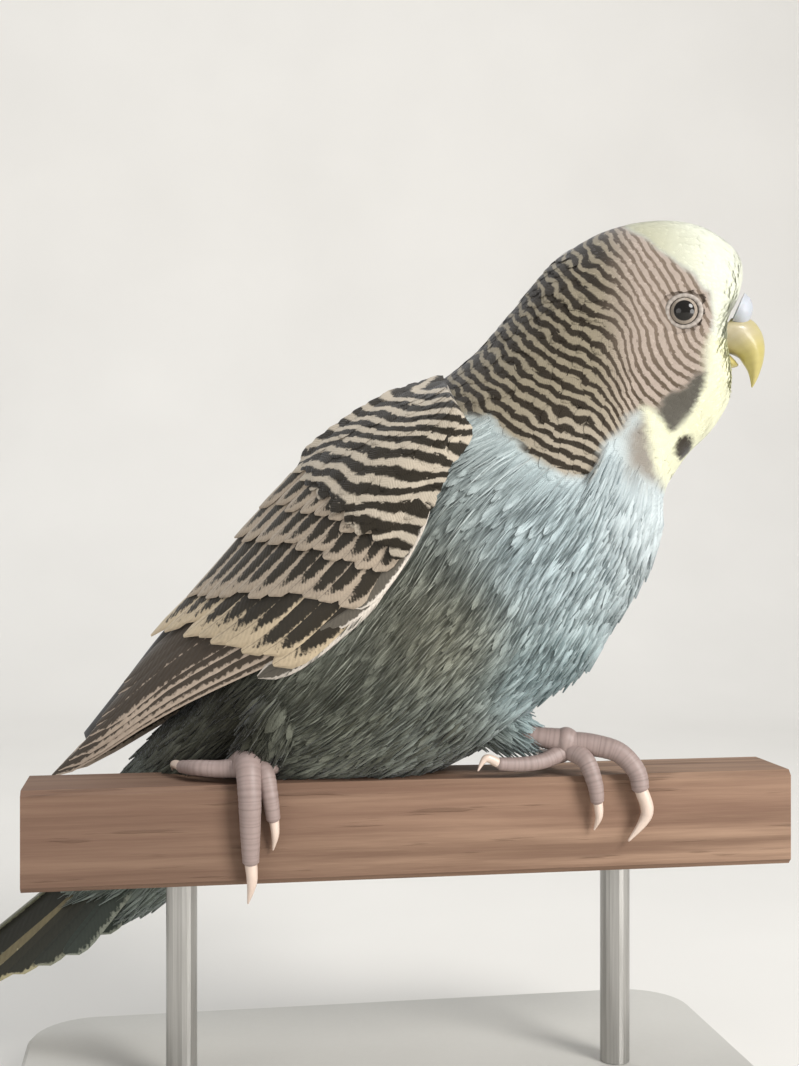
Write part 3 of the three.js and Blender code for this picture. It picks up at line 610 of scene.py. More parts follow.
def feather_tree():
    g = Graph(bpy.data.node_groups.new("lay_feathers", "GeometryNodeTree"))
    sockets = {}
    for label, kind in (("Roots", "Geometry"), ("Feather", "Object"), ("Material", "Material"),
                        ("Unevenness", "Float"), ("Seed", "Int")):
        sockets[label] = g.tree.interface.new_socket(
            label, in_out="INPUT", socket_type="NodeSocket" + kind).identifier
    g.tree.interface.new_socket("Feathers", in_out="OUTPUT", socket_type="NodeSocketGeometry")
    given = g.tree.nodes.new("NodeGroupInput").outputs
    result = g.tree.nodes.new("NodeGroupOutput").inputs

    def stored(name):
        return g.node("GeometryNodeInputNamedAttribute", {"Name": name}, "Attribute",
                      data_type="FLOAT_VECTOR")

    def vector(operation, a, b):
        return g.node("ShaderNodeVectorMath", {0: a, 3 if operation == "SCALE" else 1: b},
                      operation=operation)

    def chance(low, high, seed):
        seed = g.node("ShaderNodeMath", {0: given["Seed"], 1: seed})
        return g.node("FunctionNodeRandomValue", {"Min": low, "Max": high, "Seed": seed}, "Value",
                      data_type="FLOAT_VECTOR")

    feather = g.node("GeometryNodeObjectInfo", {"Object": given["Feather"]}, "Geometry")
    shake = vector("SCALE", chance((-1, -1, -1), (1, 1, 1), 1), given["Unevenness"])
    turn = g.node("FunctionNodeEulerToRotation", {0: stored("turn")})
    wag = g.node("FunctionNodeEulerToRotation", {0: shake})
    both = g.node("FunctionNodeRotateRotation", {0: turn, 1: wag}, rotation_space="LOCAL")
    size = vector("MULTIPLY", stored("size"), chance((0.85, 0.82, 0.9), (1.1, 1.18, 1.1), 2))
    copies = g.node("GeometryNodeInstanceOnPoints", {"Points": given["Roots"], "Instance": feather,
                                                     "Rotation": both, "Scale": size})
    real = g.node("GeometryNodeRealizeInstances", {"Geometry": copies})
    spread = vector("MULTIPLY", stored("vane"), (PATCH / 2, PATCH, 0.0))
    patch = g.node("GeometryNodeStoreNamedAttribute",
                   {"Geometry": real, "Name": "OFBake", "Value": vector("ADD", stored("home"), spread)},
                   data_type="FLOAT2", domain="CORNER")
    dress = g.node("GeometryNodeSetMaterial", {"Geometry": patch, "Material": given["Material"]})
    g.tree.links.new(dress, result["Feathers"])
    return g.tree, sockets

LAY, LAY_INPUTS = feather_tree()
print("inputs of the tree:", list(LAY_INPUTS))

# %% [markdown]
# ## From roots to a piece of coat
# Each root stores its own turn and size for the tree to read. Three angles turn a feather: they are worked
# out from the way it lies and the way out of the body, with its tip raised a little. Once the copies are
# real, every point of the coat looks up the marking at its own place, so a bar has a crisp edge even
# where it crosses a feather.

# %% Lay one piece of coat
BAR_JITTER = 0.20  # how far a feather's bars may stray from its neighbours', in bars

def angles(lie, out, tilt):
    """The turn that sets a feather along its lie, its tip raised by the tilt."""
    tilt = np.asarray(tilt)[:, None]
    y = unit(lie * np.cos(tilt) + out * np.sin(tilt))
    x = unit(np.cross(y, out))
    z = np.cross(x, y)
    return np.stack([np.arctan2(y[:, 2], z[:, 2]), -np.arcsin(np.clip(x[:, 2], -1, 1)),
                     np.arctan2(x[:, 1], x[:, 0])], -1)

def read_vectors(mesh, name):
    v = np.empty(len(mesh.vertices) * 3, np.float32)
    mesh.attributes[name].data.foreach_get("vector", v)
    return v.reshape(-1, 3)

def lay_coat(name, roots, lie, out, size, tilt, home, model, uneven, seed, marks, phase, vary=1.0):
    """Lays one piece of coat. Places are in the bird's axes, sizes in mm: width, length, bow."""
    chance = 0.5 + vary * (np.random.default_rng(seed).random(len(roots)) - 0.5)
    turned = lambda v: unit(to_row(v) - to_row(np.zeros(3)))
    piece = make_piece(name, to_row(roots), [], {
        "home": home, "size": size / 1000, "mix": np.stack([chance] * 3, -1),
        "turn": angles(turned(lie), turned(out), tilt)})
    mod = piece.modifiers.new("feathers", "NODES")
    mod.node_group = LAY
    for label, value in (("Feather", model), ("Material", COAT), ("Unevenness", uneven), ("Seed", seed)):
        mod[LAY_INPUTS[label]] = value
    baked(piece, name)
    chance = read_vectors(piece.data, "mix")[:, 2]
    for key in ("home", "size", "turn", "mix"):
        piece.data.attributes.remove(piece.data.attributes[key])
    mark_piece(piece, marks, phase, chance, BAR_JITTER * (chance - 0.5) / max(vary, 0.1))
    return piece

print("faces in one feather:", len(feather_model.data.polygons))

# %% [markdown]
# ## Where the feathers grow
# Feathers grow in rows that step sideways, like tiles. The rows here run round the body at even
# steps along it, and each row holds as many feathers as fit. They are smallest about the bill and eye
# and grow towards the belly. Those that would start inside the bill, the eye or a folded wing are left out.

# %% Rows of feathers down the body
def rows_of_roots(q0, q1, step, seed):
    """Even rows round the body between two stations: q, v of each root."""
    fine = np.linspace(q0, q1, 1500)
    spine = (body(fine, 0) + body(fine, math.pi)) / 2
    long = np.r_[0, np.cumsum(np.linalg.norm(np.diff(spine, axis=0), axis=1))]
    # steps follow the longer of the back and the belly
    back = np.r_[0, np.cumsum(np.linalg.norm(np.diff(body(fine, 0), axis=0), axis=1))]
    belly = np.r_[0, np.cumsum(np.linalg.norm(np.diff(body(fine, math.pi), axis=0), axis=1))]
    reach = np.maximum(long, np.maximum(back, belly) * 0.8)
    r = np.random.default_rng(seed)
    found = []
    for i, q in enumerate(np.interp(np.arange(0.5, reach[-1] / step) * step, reach, fine)):
        ring = body(q, np.linspace(0, 2 * math.pi, 181))
        round_ = np.r_[0, np.cumsum(np.linalg.norm(np.diff(ring, axis=0), axis=1))]
        count = max(6, int(round_[-1] / step))
        places = (np.arange(count) + 0.5 * (i % 2)) / count * round_[-1]
        v = np.interp(places, round_, np.linspace(0, 2 * math.pi, 181))
        found.append(np.stack([np.full(count, q), v], -1))
    found = np.concatenate(found)
    found[:, 0] += r.normal(0, 0.25 * step / 9, len(found))
    found[:, 1] += r.normal(0, 0.012, len(found))
    return found

def bill_distance(p):
    """How far points are from the bill's base, in mm."""
    d = p - np.array([60.5, 0, 75.8])
    return np.sqrt(d[:, 0] ** 2 + (d[:, 1] * 1.1) ** 2 + (d[:, 2] * 0.78) ** 2)

def eye_distance(p):
    """How far points are from the nearer eye, counting sideways distance half."""
    return np.linalg.norm((np.c_[p[:, 0], np.abs(p[:, 1]), p[:, 2]] - EYE_AT) * [1, 0.5, 1], axis=1)

WING_TOP = np.array([[11.5, 8, 67], [3.5, 9.5, 64], [-4.5, 8.5, 59.3], [-12.2, 6, 53.9],
                     [-19.6, 3.4, 47], [-26.8, 2, 39.4], [-33.4, 1.5, 31.8], [-41.1, 1.4, 23.5],
                     [-48.8, 1.3, 13.8], [-55.7, 1.2, 5.3], [-62, 1, -2.4]])
WING_LOW = np.array([[16.5, 19, 58.5], [11.2, 21, 47.5], [6.7, 22, 38.8], [1, 22.3, 32],
                     [-5.2, 21.6, 27.1], [-12.7, 20, 21.6], [-21.3, 17, 17.1], [-31.3, 13.2, 12.2],
                     [-41.5, 9.2, 7.2], [-51.2, 5.6, 1.9], [-60.8, 2.6, -3]])

def behind_wing(p):
    """Points of the body well under the folded wing."""
    edge = np.vstack([WING_TOP[:10], WING_LOW[9::-1]])[:, [0, 2]]
    return inside(edge, p[:, 0], p[:, 2]) > 3.0

print("roots in rows 1 mm apart on the head:", len(rows_of_roots(0.1, 6.3, 1.0, 1)))

# %% [markdown]
# ## The coat, region by region
# A real coat isn't even. The head's feathers are tiny and pressed flat, the neck's a little longer, and
# those of breast and belly long and loose, with hair-like barbs standing out of them. One function lays
# any region, and a table says how each differs. On the head each feather points to the place where
# its tip should touch down, which keeps the curved face smooth.

# %% Lay the coat of the body
BILL_CLEAR, EYE_CLEAR = 6.5, 3.9  # no feather starts nearer than this to the bill's base or an eye, in mm

def body_coat(name, q0, q1, step, width, length, tilt, uneven, seed, bow, vary, rise, hug):
    """One region of the coat: its sizes are in mm, and its tilt is in degrees."""
    model = hair_model if name.startswith("hairs") else feather_model
    q, v = rows_of_roots(q0, q1, step, seed).T
    q = np.clip(q, 0.05, 21.95)
    roots, lie, out = body_frame(q, v, -DEPTH + rise)
    if hug:  # each feather points to the place on the body where its tip should lie
        pace = np.linalg.norm(body(q + 0.05, v) - body(q - 0.05, v), axis=1) / 0.1
        lie = unit(body(q + length / pace, v, -DEPTH + rise) - roots)
    ok = (bill_distance(roots) > BILL_CLEAR) & (eye_distance(roots) > EYE_CLEAR)
    ok &= eye_distance(roots + lie * 1.6) > EYE_CLEAR - 0.1
    ok &= ~((np.abs(roots[:, 1]) > 3) & (q > 11.2) & behind_wing(roots))
    ok &= np.linalg.norm(clear_of_perch(roots, 1.0) - roots, axis=1) < 1e-6
    barred = markings(roots)[2]
    if model is hair_model:
        ok &= barred < 0.3
    tip = roots + lie * np.asarray(length)
    ok &= np.linalg.norm(clear_of_perch(tip, 0.5) - tip, axis=1) < 1.2
    q, v, roots, lie, out, barred = q[ok], v[ok], roots[ok], lie[ok], out[ok], barred[ok]
    small = 0.86 + 0.14 * np.minimum(ramp(bill_distance(roots), 4, 15), ramp(eye_distance(roots), 2.5, 9))
    size = np.stack([np.full(len(q), width) * small, length * small * (1 - 0.03 * length * barred),
                     np.full(len(q), bow) * small], -1)
    home = np.stack([v / 6.3, q / 22.5, 0 * q], -1)
    tilt = math.radians(tilt) * (0.7 + 0.3 * small)
    return lay_coat(name, roots, lie, out, size, tilt, home, model, uneven, seed, markings, bar_phase, vary)

# first and last station, step, width, length, tilt, unevenness, seed, bow, shade, height, hug
REGIONS = {
    "coat_head": (0.1, 6.3, 0.8, 1.8, 2.5, -0.5, 0.015, 11, 0.3, 0.15, 0.6, True),
    "coat_neck": (6.0, 10.6, 1.05, 2.3, 4.4, 4, 0.06, 12, 0.8, 0.2, 0.3, False),
    "coat_breast": (10.3, 16.4, 1.2, 1.6, 8.0, 5, 0.10, 13, 1.2, 0.12, 0.1, False),
    "coat_belly": (16.0, 21.9, 1.2, 1.6, 8.0, 5, 0.12, 14, 1.2, 0.12, 0.1, False),
    "hairs_throat": (8.6, 12.4, 0.66, 0.22, 8.0, 8, 0.12, 15, 2.2, 1.6, 0.05, False),
    "hairs_breast": (12.3, 16.0, 0.66, 0.22, 8.0, 8, 0.12, 17, 2.2, 1.6, 0.05, False),
    "hairs_belly": (15.8, 21.6, 0.7, 0.22, 8.0, 8, 0.16, 16, 2.2, 1.6, 0.05, False)}

def count_triangles(pieces):
    for piece in pieces:
        print(piece.name, "triangles:", sum(len(f.vertices) - 2 for f in piece.data.polygons))

coat = [body_coat(name, *row) for name, row in REGIONS.items()]
count_triangles(coat)

# %% [markdown]
# ## The thighs
# A perched budgerigar tucks its legs into its belly, and only the shanks' loose feathers show. They hang
# down each thigh towards the foot, over the lumps of the skin, and stop above the perch.

# %% Lay the coat of the thighs
def thigh_coat(name, thigh, width, length, step, model, seed, vary):
    """Loose feathers over one thigh, hanging towards the foot."""
    t = np.array(thigh)
    axis = to_bird(t[:, :3])
    way = unit(axis[-1] - axis[0])
    s, a = np.meshgrid(np.arange(0, 1, step / 8), np.arange(0, 2 * math.pi, step / 4.2), indexing="ij")
    r = np.random.default_rng(seed)
    s = np.clip(s + r.normal(0, 0.03, s.shape), 0, 1).ravel()
    a = (a + r.normal(0, 0.1, a.shape)).ravel()
    middle = np.stack([np.interp(s * 2, [0, 1, 2], axis[:, k]) for k in range(3)], -1)
    radius = np.interp(s * 2, [0, 1, 2], t[:, 3]) - 1.7
    side = unit(np.cross(way, [0.1, 0.2, 0.97]))
    out = np.cos(a)[:, None] * side + np.sin(a)[:, None] * np.cross(side, way)
    roots = middle + out * radius[:, None]
    tip = roots + way * length * 0.8
    ok = (np.linalg.norm(clear_of_perch(tip, 0.4) - tip, axis=1) < 0.8) & (s > 0.2)
    ok &= np.linalg.norm(clear_of_perch(roots, 0.6) - roots, axis=1) < 1e-6
    roots, out, s, a = roots[ok], out[ok], s[ok], a[ok]
    size = np.tile([width, length, 1.4], (len(s), 1))
    home = np.stack([0.93 + 0.06 * s, 0.55 + 0.06 * a, 0 * s], -1)
    return lay_coat(name, roots, np.tile(way, (len(s), 1)), out, size, np.full(len(s), 0.16), home, model,
                    0.16, seed, markings, bar_phase, vary)

loose = []
for i, thigh in enumerate(THIGHS):
    loose.append(thigh_coat(f"thigh_feathers_{i + 1}", thigh, 1.9, 5.0, 1.0, feather_model, 41 + i, 0.3))
    loose.append(thigh_coat(f"thigh_hairs_{i + 1}", thigh, 0.2, 6.5, 0.6, hair_model, 43 + i, 1.4))
count_triangles(loose)
coat += loose

# %% [markdown]
# ## The folded wing
# A folded wing is a fan shut like a hand of cards. The long primaries lie lowest and reach furthest
# back. The secondaries cover them, and rows of coverts cover those, each row shorter than the last.
# The feathers nearest the back lie on top. A place on the wing is given by how far along it is and how far
# down from its upper edge, both from 0 to 1.

# %% Points on the wing and one long feather
def wing(side, s, t, height=0.0):
    """A point on the wing's outer face: along it s, down it t, and a height above it in mm."""
    s, t = np.broadcast_arrays(np.asarray(s, float), np.asarray(t, float))

    def surface(s, t):
        top, low = smooth_row(WING_TOP, s * 10), smooth_row(WING_LOW, s * 10)
        p = top + (low - top) * t[..., None]
        k = np.clip(t, 0, 1)
        fold = top[..., 1] + (low[..., 1] - top[..., 1]) * np.sin(k * math.pi / 2) ** 0.85
        fold = fold + 1.4 * np.sin(k * math.pi) * (1 - s)
        under = half_width(p[..., 0], p[..., 2]).reshape(s.shape) + 1.2 * (1 - s)
        return np.stack([p[..., 0], side * np.maximum(fold, under), p[..., 2]], -1)

    p = surface(s, t)
    ds, dt = surface(s + 0.04, t) - surface(s - 0.04, t), surface(s, t + 0.06) - surface(s, t - 0.06)
    out = unit(np.cross(ds, dt))
    out = out * np.where(out[..., 1:2] * side < 0, -1, 1)
    return p + out * np.asarray(height)[..., None], out

def long_feather(spine, up, wide, twist=0.0, camber=0.10, thick=0.16, cells=7, tip=0.22, base=0.5):
    """A closed vane along a line of points: points, faces and its own coordinates."""
    n = len(spine)
    k = np.linspace(0, 1, n)
    way = unit(np.gradient(spine, axis=0))
    across = unit(np.cross(up, way))
    up = np.cross(way, across)
    c, s = math.cos(twist), math.sin(twist)
    across, up = across * c + up * s, up * c - across * s
    round_end = np.sqrt(np.clip(1 - (np.clip(k - 1 + tip, 0, 1) / (tip * 1.01)) ** 2, 0.004, 1))
    w = wide / 2 * np.minimum(base + (1 - base) * np.clip(k / 0.2, 0, 1), round_end)
    x = np.linspace(-1, 1, cells)
    x = np.r_[x, x[::-1]]
    face = np.r_[np.full(cells, 0.5), np.full(cells, -0.5)]
    bow = -camber * wide * x**2
    points = (spine[:, None] + across[:, None] * (w[:, None] * x)[..., None]
              + up[:, None] * (bow * (w / w.max())[:, None] + thick * face * (1 - 0.6 * x**4))[..., None])
    vane = np.stack([np.tile(x, (n, 1)), np.tile(k[:, None], (1, 2 * cells)), np.tile(face, (n, 1))], -1)
    return points.reshape(-1, 3), ring_faces(n, 2 * cells), vane.reshape(-1, 3)

print("wing length, mm:", round(float(np.linalg.norm(wing(-1, 0, 0.5)[0] - wing(-1, 1, 0.5)[0]))))

# %% [markdown]
# ## What a long feather is marked with
# A covert is black in the middle and cream at its end and along one edge. A flight feather has only a
# thin pale rim. One material draws both from numbers stored on each feather: a dark shape, straight at
# first and then rounded off, with barbs that fray its border, a shaft down the middle, and a rim.

# %% The finish of the long feathers, and joining them to one piece
def plume(name):
    """Long feathers: a dark middle with a pale edge, slanting barbs, and a shaft."""
    f = Finish(name, 0.55, Sheen_Weight=0.12, Specular_IOR_Level=0.3)
    across, along = f.number("vane", 0), f.number("vane", 1)
    off, half, straight = f.number("mark", 0), f.number("mark", 1), f.number("mark", 2)
    end, chance, edge = f.number("close", 0), f.number("close", 1), f.number("close", 2)
    where = f.place()
    rough = f.math("SUBTRACT", f.noise(where, 900, 3, 0.65), 0.5)
    slant = f.math("MULTIPLY_ADD", f.math("ABSOLUTE", across), -2.6, f.math("MULTIPLY", along, 30.0))
    barbs = f.math("SINE", f.math("MULTIPLY", f.math("MULTIPLY_ADD", rough, 0.5, slant), 6.0))
    x = f.math("DIVIDE", f.math("SUBTRACT", across, off), half)
    y = f.math("DIVIDE", f.math("SUBTRACT", along, straight), f.math("SUBTRACT", end, straight))
    y = f.math("MAXIMUM", y, 0.0)
    reach = f.math("SQRT", f.math("ADD", f.math("MULTIPLY", x, x), f.math("MULTIPLY", y, y)))
    reach = f.math("ADD", f.math("MULTIPLY_ADD", rough, 0.9, reach), f.math("MULTIPLY", barbs, 0.05))
    dark = f.node("ShaderNodeMapRange", {"Value": reach, "From Min": 1.12, "From Max": 0.88},
                  interpolation_type="SMOOTHSTEP")
    rim = f.math("MULTIPLY", f.step(across, 0.82, 0.93), edge)
    dark = f.math("MULTIPLY", dark, f.math("SUBTRACT", 1.0, rim, clamp=True), clamp=True)
    colour = f.mix(dark, f.number("light_tint"), f.number("dark_tint"))
    shaft = f.math("MULTIPLY", f.step(f.math("ABSOLUTE", across), 0.07, 0.03), 0.35)
    colour = f.mix(shaft, colour, srgb(30, 25, 18))
    shade = f.math("ADD", f.math("MULTIPLY", barbs, 0.06), f.math("MULTIPLY", chance, 0.12))
    colour = f.mix(f.math("ADD", shade, f.math("MULTIPLY", rough, 0.5), clamp=True), colour,
                   (0.01, 0.01, 0.008))
    return f.done(colour, f.math("MULTIPLY_ADD", barbs, 0.5, rough), 0.25, 0.0001)

PLUME = plume("flight_feathers")

def feather_piece(name, feathers, fit=lambda points: points):
    """One piece from many feathers, each its points, faces, own coordinates and four numbers."""
    points, faces = joined([(f[0], f[1]) for f in feathers])
    piece = make_piece(name, to_row(fit(points)), faces, {"vane": np.concatenate([f[2] for f in feathers])})
    piece.data.set_sharp_from_angle(angle=CRISP)
    for k, key in enumerate(("light_tint", "dark_tint", "mark", "close")):
        store(piece.data, {key: np.concatenate([np.tile(f[3][k], (len(f[0]), 1)) for f in feathers])})
    piece.data.materials.append(PLUME)
    return piece

print("finish of the long feathers:", PLUME.name)

# %% [markdown]
# ## Rows of the wing
# Each row is one line of a table: how many feathers, where the first and last start and end, how high
# they lie, how wide they are, and the shape and colour of the dark middle. The dark of a covert stops
# short of its tip, and the cream ends of a row make the pale scallops of the wing.

# %% The rows of long feathers, and how they are built
SIDES = {-1: "right", 1: "left"}
WING_SEEDS = ((-1, 21), (1, 22))
BLACK, CREAM, TAN = (38, 31, 18), (184, 172, 154), (166, 151, 133)
# count, root at the back, root at the edge, tip at the back, tip at the edge, heights, width,
# dark middle (off, half, straight, end), pale rim, pale and dark colour
WING_ROWS = [
    (9, (0.36, 0.42), (0.36, 0.96), (0.78, 0.12), (1.0, 0.60), (0.3, 0.7), 5.4,
     (0.05, 0.80, 0.90, 1.1), 0.9, (188, 170, 152), (64, 53, 41)),
    (4, (0.10, 0.90), (0.24, 0.98), (0.36, 0.97), (0.57, 1.03), (0.3, 0.9), 4.6,
     (0.0, 0.80, 0.85, 1.1), 1.0, (226, 216, 204), (92, 86, 76)),
    (10, (0.32, 0.06), (0.22, 0.86), (0.70, 0.05), (0.525, 1.0), (0.6, 1.5), 6.2,
     (0.30, 0.55, 0.55, 0.87), 0.0, (190, 172, 144), BLACK),
    (11, (0.34, 0.0), (0.18, 0.78), (0.625, 0.08), (0.37, 0.93), (1.0, 1.75), 5.6,
     (0.28, 0.52, 0.50, 0.88), 0.0, TAN, BLACK),
    (11, (0.26, 0.0), (0.12, 0.74), (0.49, 0.06), (0.27, 0.92), (1.3, 1.95), 5.2,
     (0.28, 0.52, 0.48, 0.88), 0.0, TAN, BLACK),
    (10, (0.20, 0.0), (0.06, 0.70), (0.405, 0.06), (0.215, 0.86), (1.5, 2.1), 4.8,
     (0.28, 0.52, 0.46, 0.88), 0.0, TAN, BLACK),
    (9, (0.14, 0.0), (0.02, 0.66), (0.33, 0.06), (0.16, 0.80), (1.6, 2.2), 4.4,
     (0.26, 0.54, 0.44, 0.87), 0.0, CREAM, BLACK),
]

def build_wing(side, seed):
    r = np.random.default_rng(seed)
    feathers = []
    for count, root0, root1, tip0, tip1, heights, wide, dark, rim, pale, deep in WING_ROWS:
        for i in range(count):
            f = i / (count - 1)
            root = np.array(root0) + (np.array(root1) - root0) * f
            end = np.array(tip0) + (np.array(tip1) - tip0) * f + r.normal(0, (0.007, 0.008))
            k = np.linspace(0, 1, 14)[:, None]
            st = root + (end - root) * k
            st[:, 1] += 0.03 * np.sin(math.pi * k[:, 0])
            lift = heights[0] + (heights[1] - heights[0]) * k[:, 0] + 0.25 - 0.5 * f
            spine, up = wing(side, st[:, 0], st[:, 1], lift)
            w = wide * (0.94 + 0.12 * r.random()) * (1 - 0.12 * f)
            p, faces, vane = long_feather(spine, up, w, -side * 0.10)
            vane[:, 0] *= -side
            shift = r.normal(0, 0.03)
            mark = [dark[0] + r.normal(0, 0.06), dark[1] * (0.86 + 0.24 * r.random()), dark[2] + shift]
            feathers.append((p, faces, vane, (srgb(*pale), srgb(*deep), mark,
                                              [dark[3] + shift, r.random(), rim])))
    return feather_piece("wing_feathers_" + SIDES[side], feathers,
                         lambda points: clear_of_perch(points, 0.3))

print("feathers in each wing:", sum(row[0] for row in WING_ROWS))

# %% [markdown]
# ## The shoulder
# The front of a folded wing is covered by small coverts, too many to list in a table, and they're barred
# like the neck. They are laid as a coat on the wing's own surface. Under them lies a thin closed slab,
# the wing's own flesh and down, so that no gap between feathers shows through to the far side. Behind the
# shoulder the slab is dimmed nearly to black: painted shade under the long feathers.

# %% Build both wings, each with its bed and shoulder
def shoulder_phase(p):
    """Counts the level bars across the shoulder of the wing."""
    return (p[:, 2] + 0.16 * p[:, 0] + 1.4 * wobble(p, 5.0, 5) + 0.75 * wobble(p, 1.8, 6)) / 2.7

def shoulder_marks(p):
    """Bold bars of black on cream."""
    one = np.ones((len(p), 1))
    return one * srgb(*CREAM), one * srgb(*BLACK), one[:, 0], 0.56 * one[:, 0]

def wing_bed(side):
    """The wing's own flesh and down under its feathers, a thin closed slab, dimmed behind the shoulder as
    painted shade.
    """
    s, share = np.linspace(0.0, 0.9, 50)[:, None], np.linspace(0.02, 1.0, 24)[None, :]
    t = share * (0.97 - 0.45 * ramp(s, 0.45, 0.9))
    over, _ = wing(side, s, t, 0.15 + 1.1 * ramp(s, 0.4, 0.1) + 0 * t)
    under, _ = wing(side, s, t, -1.0 + 0 * t)
    rings = np.concatenate([over, under[:, ::-1]], 1)
    points = clear_of_perch(rings.reshape(-1, 3), 0.3)
    piece = make_piece("wing_bed_" + SIDES[side], to_row(points), ring_faces(50, 48))
    outward(piece)
    # the slab's pale colour is dimmed nearly to black behind the shoulder: painted shade under the long
    # feathers
    mark_piece(piece, shoulder_marks, shoulder_phase,
               fade=lambda at: 0.05 + 0.65 * ramp(at[:, :1], -2, 6))
    piece.data.materials.append(SKIN)
    return piece

def shoulder_coat(side, seed):
    """Small barred coverts over the shoulder, in staggered rows."""
    r = np.random.default_rng(seed)
    s, t = [], []
    for i, a in enumerate(np.arange(-0.01, 0.27, 0.015)):
        for b in np.arange(0.02 * (i % 2), 1.0, 0.04):
            if a < 0.29 - 0.12 * b:
                s.append(a + r.normal(0, 0.002))
                t.append(b + r.normal(0, 0.006))
    s, t = np.clip(s, 0.0, 1), np.clip(t, 0.01, 0.99)
    high = 1.2 + 0.9 * ramp(s, 0.0, 0.2)
    roots, out = wing(side, s, t, high)
    ahead, _ = wing(side, s + 0.02, t + 0.004, high)
    lie = unit(ahead - roots)
    size = np.tile([3.3, 5.0, 1.6], (len(s), 1)) * (0.8 + 0.2 * ramp(s, 0, 0.15))[:, None]
    home = np.stack([0.05 + 0.4 * t + (0.5 if side > 0 else 0), 0.4 + 0.4 * s, 0 * s], -1)
    return lay_coat("shoulder_" + SIDES[side], roots, lie, out, size,
                    np.full(len(s), math.radians(5)), home, feather_model, 0.06, seed,
                    shoulder_marks, shoulder_phase)

wings = []
for side, seed in WING_SEEDS:
    wings += [build_wing(side, seed), wing_bed(side), shoulder_coat(side, seed + 10)]
print("wing pieces:", [p.name for p in wings])

# %% [markdown]
# ## The tail
# Twelve feathers in six pairs, folded nearly shut. The middle pair lies on top and is the longest. Each
# pair below is a little shorter and further out, so their edges show as a row of narrow steps.

# %% Build the tail
TAIL_ROOT, TAIL_TIP = np.array([-43, 0, -9.5]), np.array([-82.5, 0, -41.5])
TAIL_UP = np.array([-0.657, 0, 0.754])
TAIL_PAIRS = [1, 0.93, 0.85, 0.75, 0.64, 0.52]
TAIL_TINTS = [((112, 112, 90), (30, 29, 16)), ((206, 194, 156), (112, 102, 74)),
              ((176, 166, 130), (40, 38, 24)), ((170, 162, 130), (36, 36, 24)),
              ((150, 150, 130), (40, 44, 34)), ((150, 154, 140), (48, 56, 48))]

def build_tail():
    r = np.random.default_rng(31)
    feathers = []
    for pair, long in enumerate(TAIL_PAIRS):
        for side in (-1, 1):
            k = np.linspace(0, 1, 16)
            middle = TAIL_ROOT + (TAIL_TIP - TAIL_ROOT) * (k * long)[:, None]
            off = side * (1.9 + pair * (0.6 + 0.4 * k))
            drop = -pair * (0.7 + 1.2 * k) - (0.5 if side > 0 else 0)
            spine = middle + TAIL_UP * drop[:, None]
            spine[:, 1] += off
            roll = side * math.radians(48 + 3 * pair)
            lean = np.array([0, math.sin(roll), 0]) + TAIL_UP * math.cos(roll)
            p, faces, vane = long_feather(spine, np.tile(lean, (16, 1)), 7.6 - 0.25 * pair, 0,
                                          0.12, 0.2, 7, 0.2, 0.6)
            vane[:, 0] *= side
            tints = [srgb(*tint) for tint in TAIL_TINTS[pair]]
            feathers.append((p, faces, vane, (*tints, [0.0, 0.84, 0.93], [1.06, r.random(), 0.9])))
    return feather_piece("tail_feathers", feathers)

tail = build_tail()
print("tail feathers:", 2 * len(TAIL_PAIRS))

# %% [markdown]
# ## Bare skin and horn
# Bill, claws, cere, lids and feet carry no feathers. Horn is smooth and changes colour towards its tip,
# skin is duller, and both are mottled, with shade painted into their creases. One function makes all five
# finishes.
# It reads from the mesh how creased each point is and how near the tip.

# %% Finishes of the bare parts
def bare(name, pale, deep, rough=0.45, scale=1500, tip=None, **shader):
    """Bare skin or horn: mottled, with painted shade in its creases, and changing colour towards its tip.
    """
    f = Finish(name, rough, **shader)
    mottle = f.noise(f.place(), scale, 4, 0.6)
    slow = f.noise(f.place(), 220, 2, 0.5)
    crease = f.number("crease", 0)
    colour = f.mix(f.math("MULTIPLY_ADD", mottle, 0.5, f.math("MULTIPLY", slow, 0.3)), srgb(*pale),
                   srgb(*(0.84 * c for c in pale)))
    if tip:
        colour = f.mix(f.number("crease", 1), colour, srgb(*tip))
    # painted shade: the crease number darkens the colour towards the deep one
    colour = f.mix(crease, colour, srgb(*deep))
    return f.done(colour, f.math("MULTIPLY_ADD", crease, -0.8, mottle), 0.35, 0.0001,
                  f.math("MULTIPLY_ADD", mottle, 0.2, rough - 0.1))

HORN = bare("bill_horn", (188, 178, 154), (150, 134, 78), 0.34, 900, (184, 172, 106), Coat_Weight=0.2)
CERE_SKIN = bare("cere_skin", (188, 192, 200), (70, 60, 60), 0.5, 1300, None, Subsurface_Weight=0.08,
                 Subsurface_Scale=0.001)
FOOT_SKIN = bare("foot_scales", (158, 139, 133), (92, 74, 68), 0.5, 800)
CLAW_HORN = bare("claw_horn", (222, 200, 184), (150, 118, 104), 0.35, 1200, Coat_Weight=0.2)
LID_SKIN = bare("eyelid_skin", (190, 180, 170), (110, 100, 92), 0.55, 2000)

def store_crease(piece, crease, tone=0.0):
    """Keeps how creased each point is, and how far its colour has changed towards the tip."""
    crease = np.resize(crease, len(piece.data.vertices))
    tone = np.resize(tone, len(crease))
    store(piece.data, {"crease": np.stack([crease, tone, 0 * tone], -1)})

print("bare finishes:", [m.name for m in (HORN, CERE_SKIN, FOOT_SKIN, CLAW_HORN, LID_SKIN)])

# %% [markdown]
# ## The bill
# A budgerigar's upper bill hooks down over a small lower one. Each half is a row of rings again, far more
# of them than the solids had, between an outer line along its ridge and an inner line along its edge.

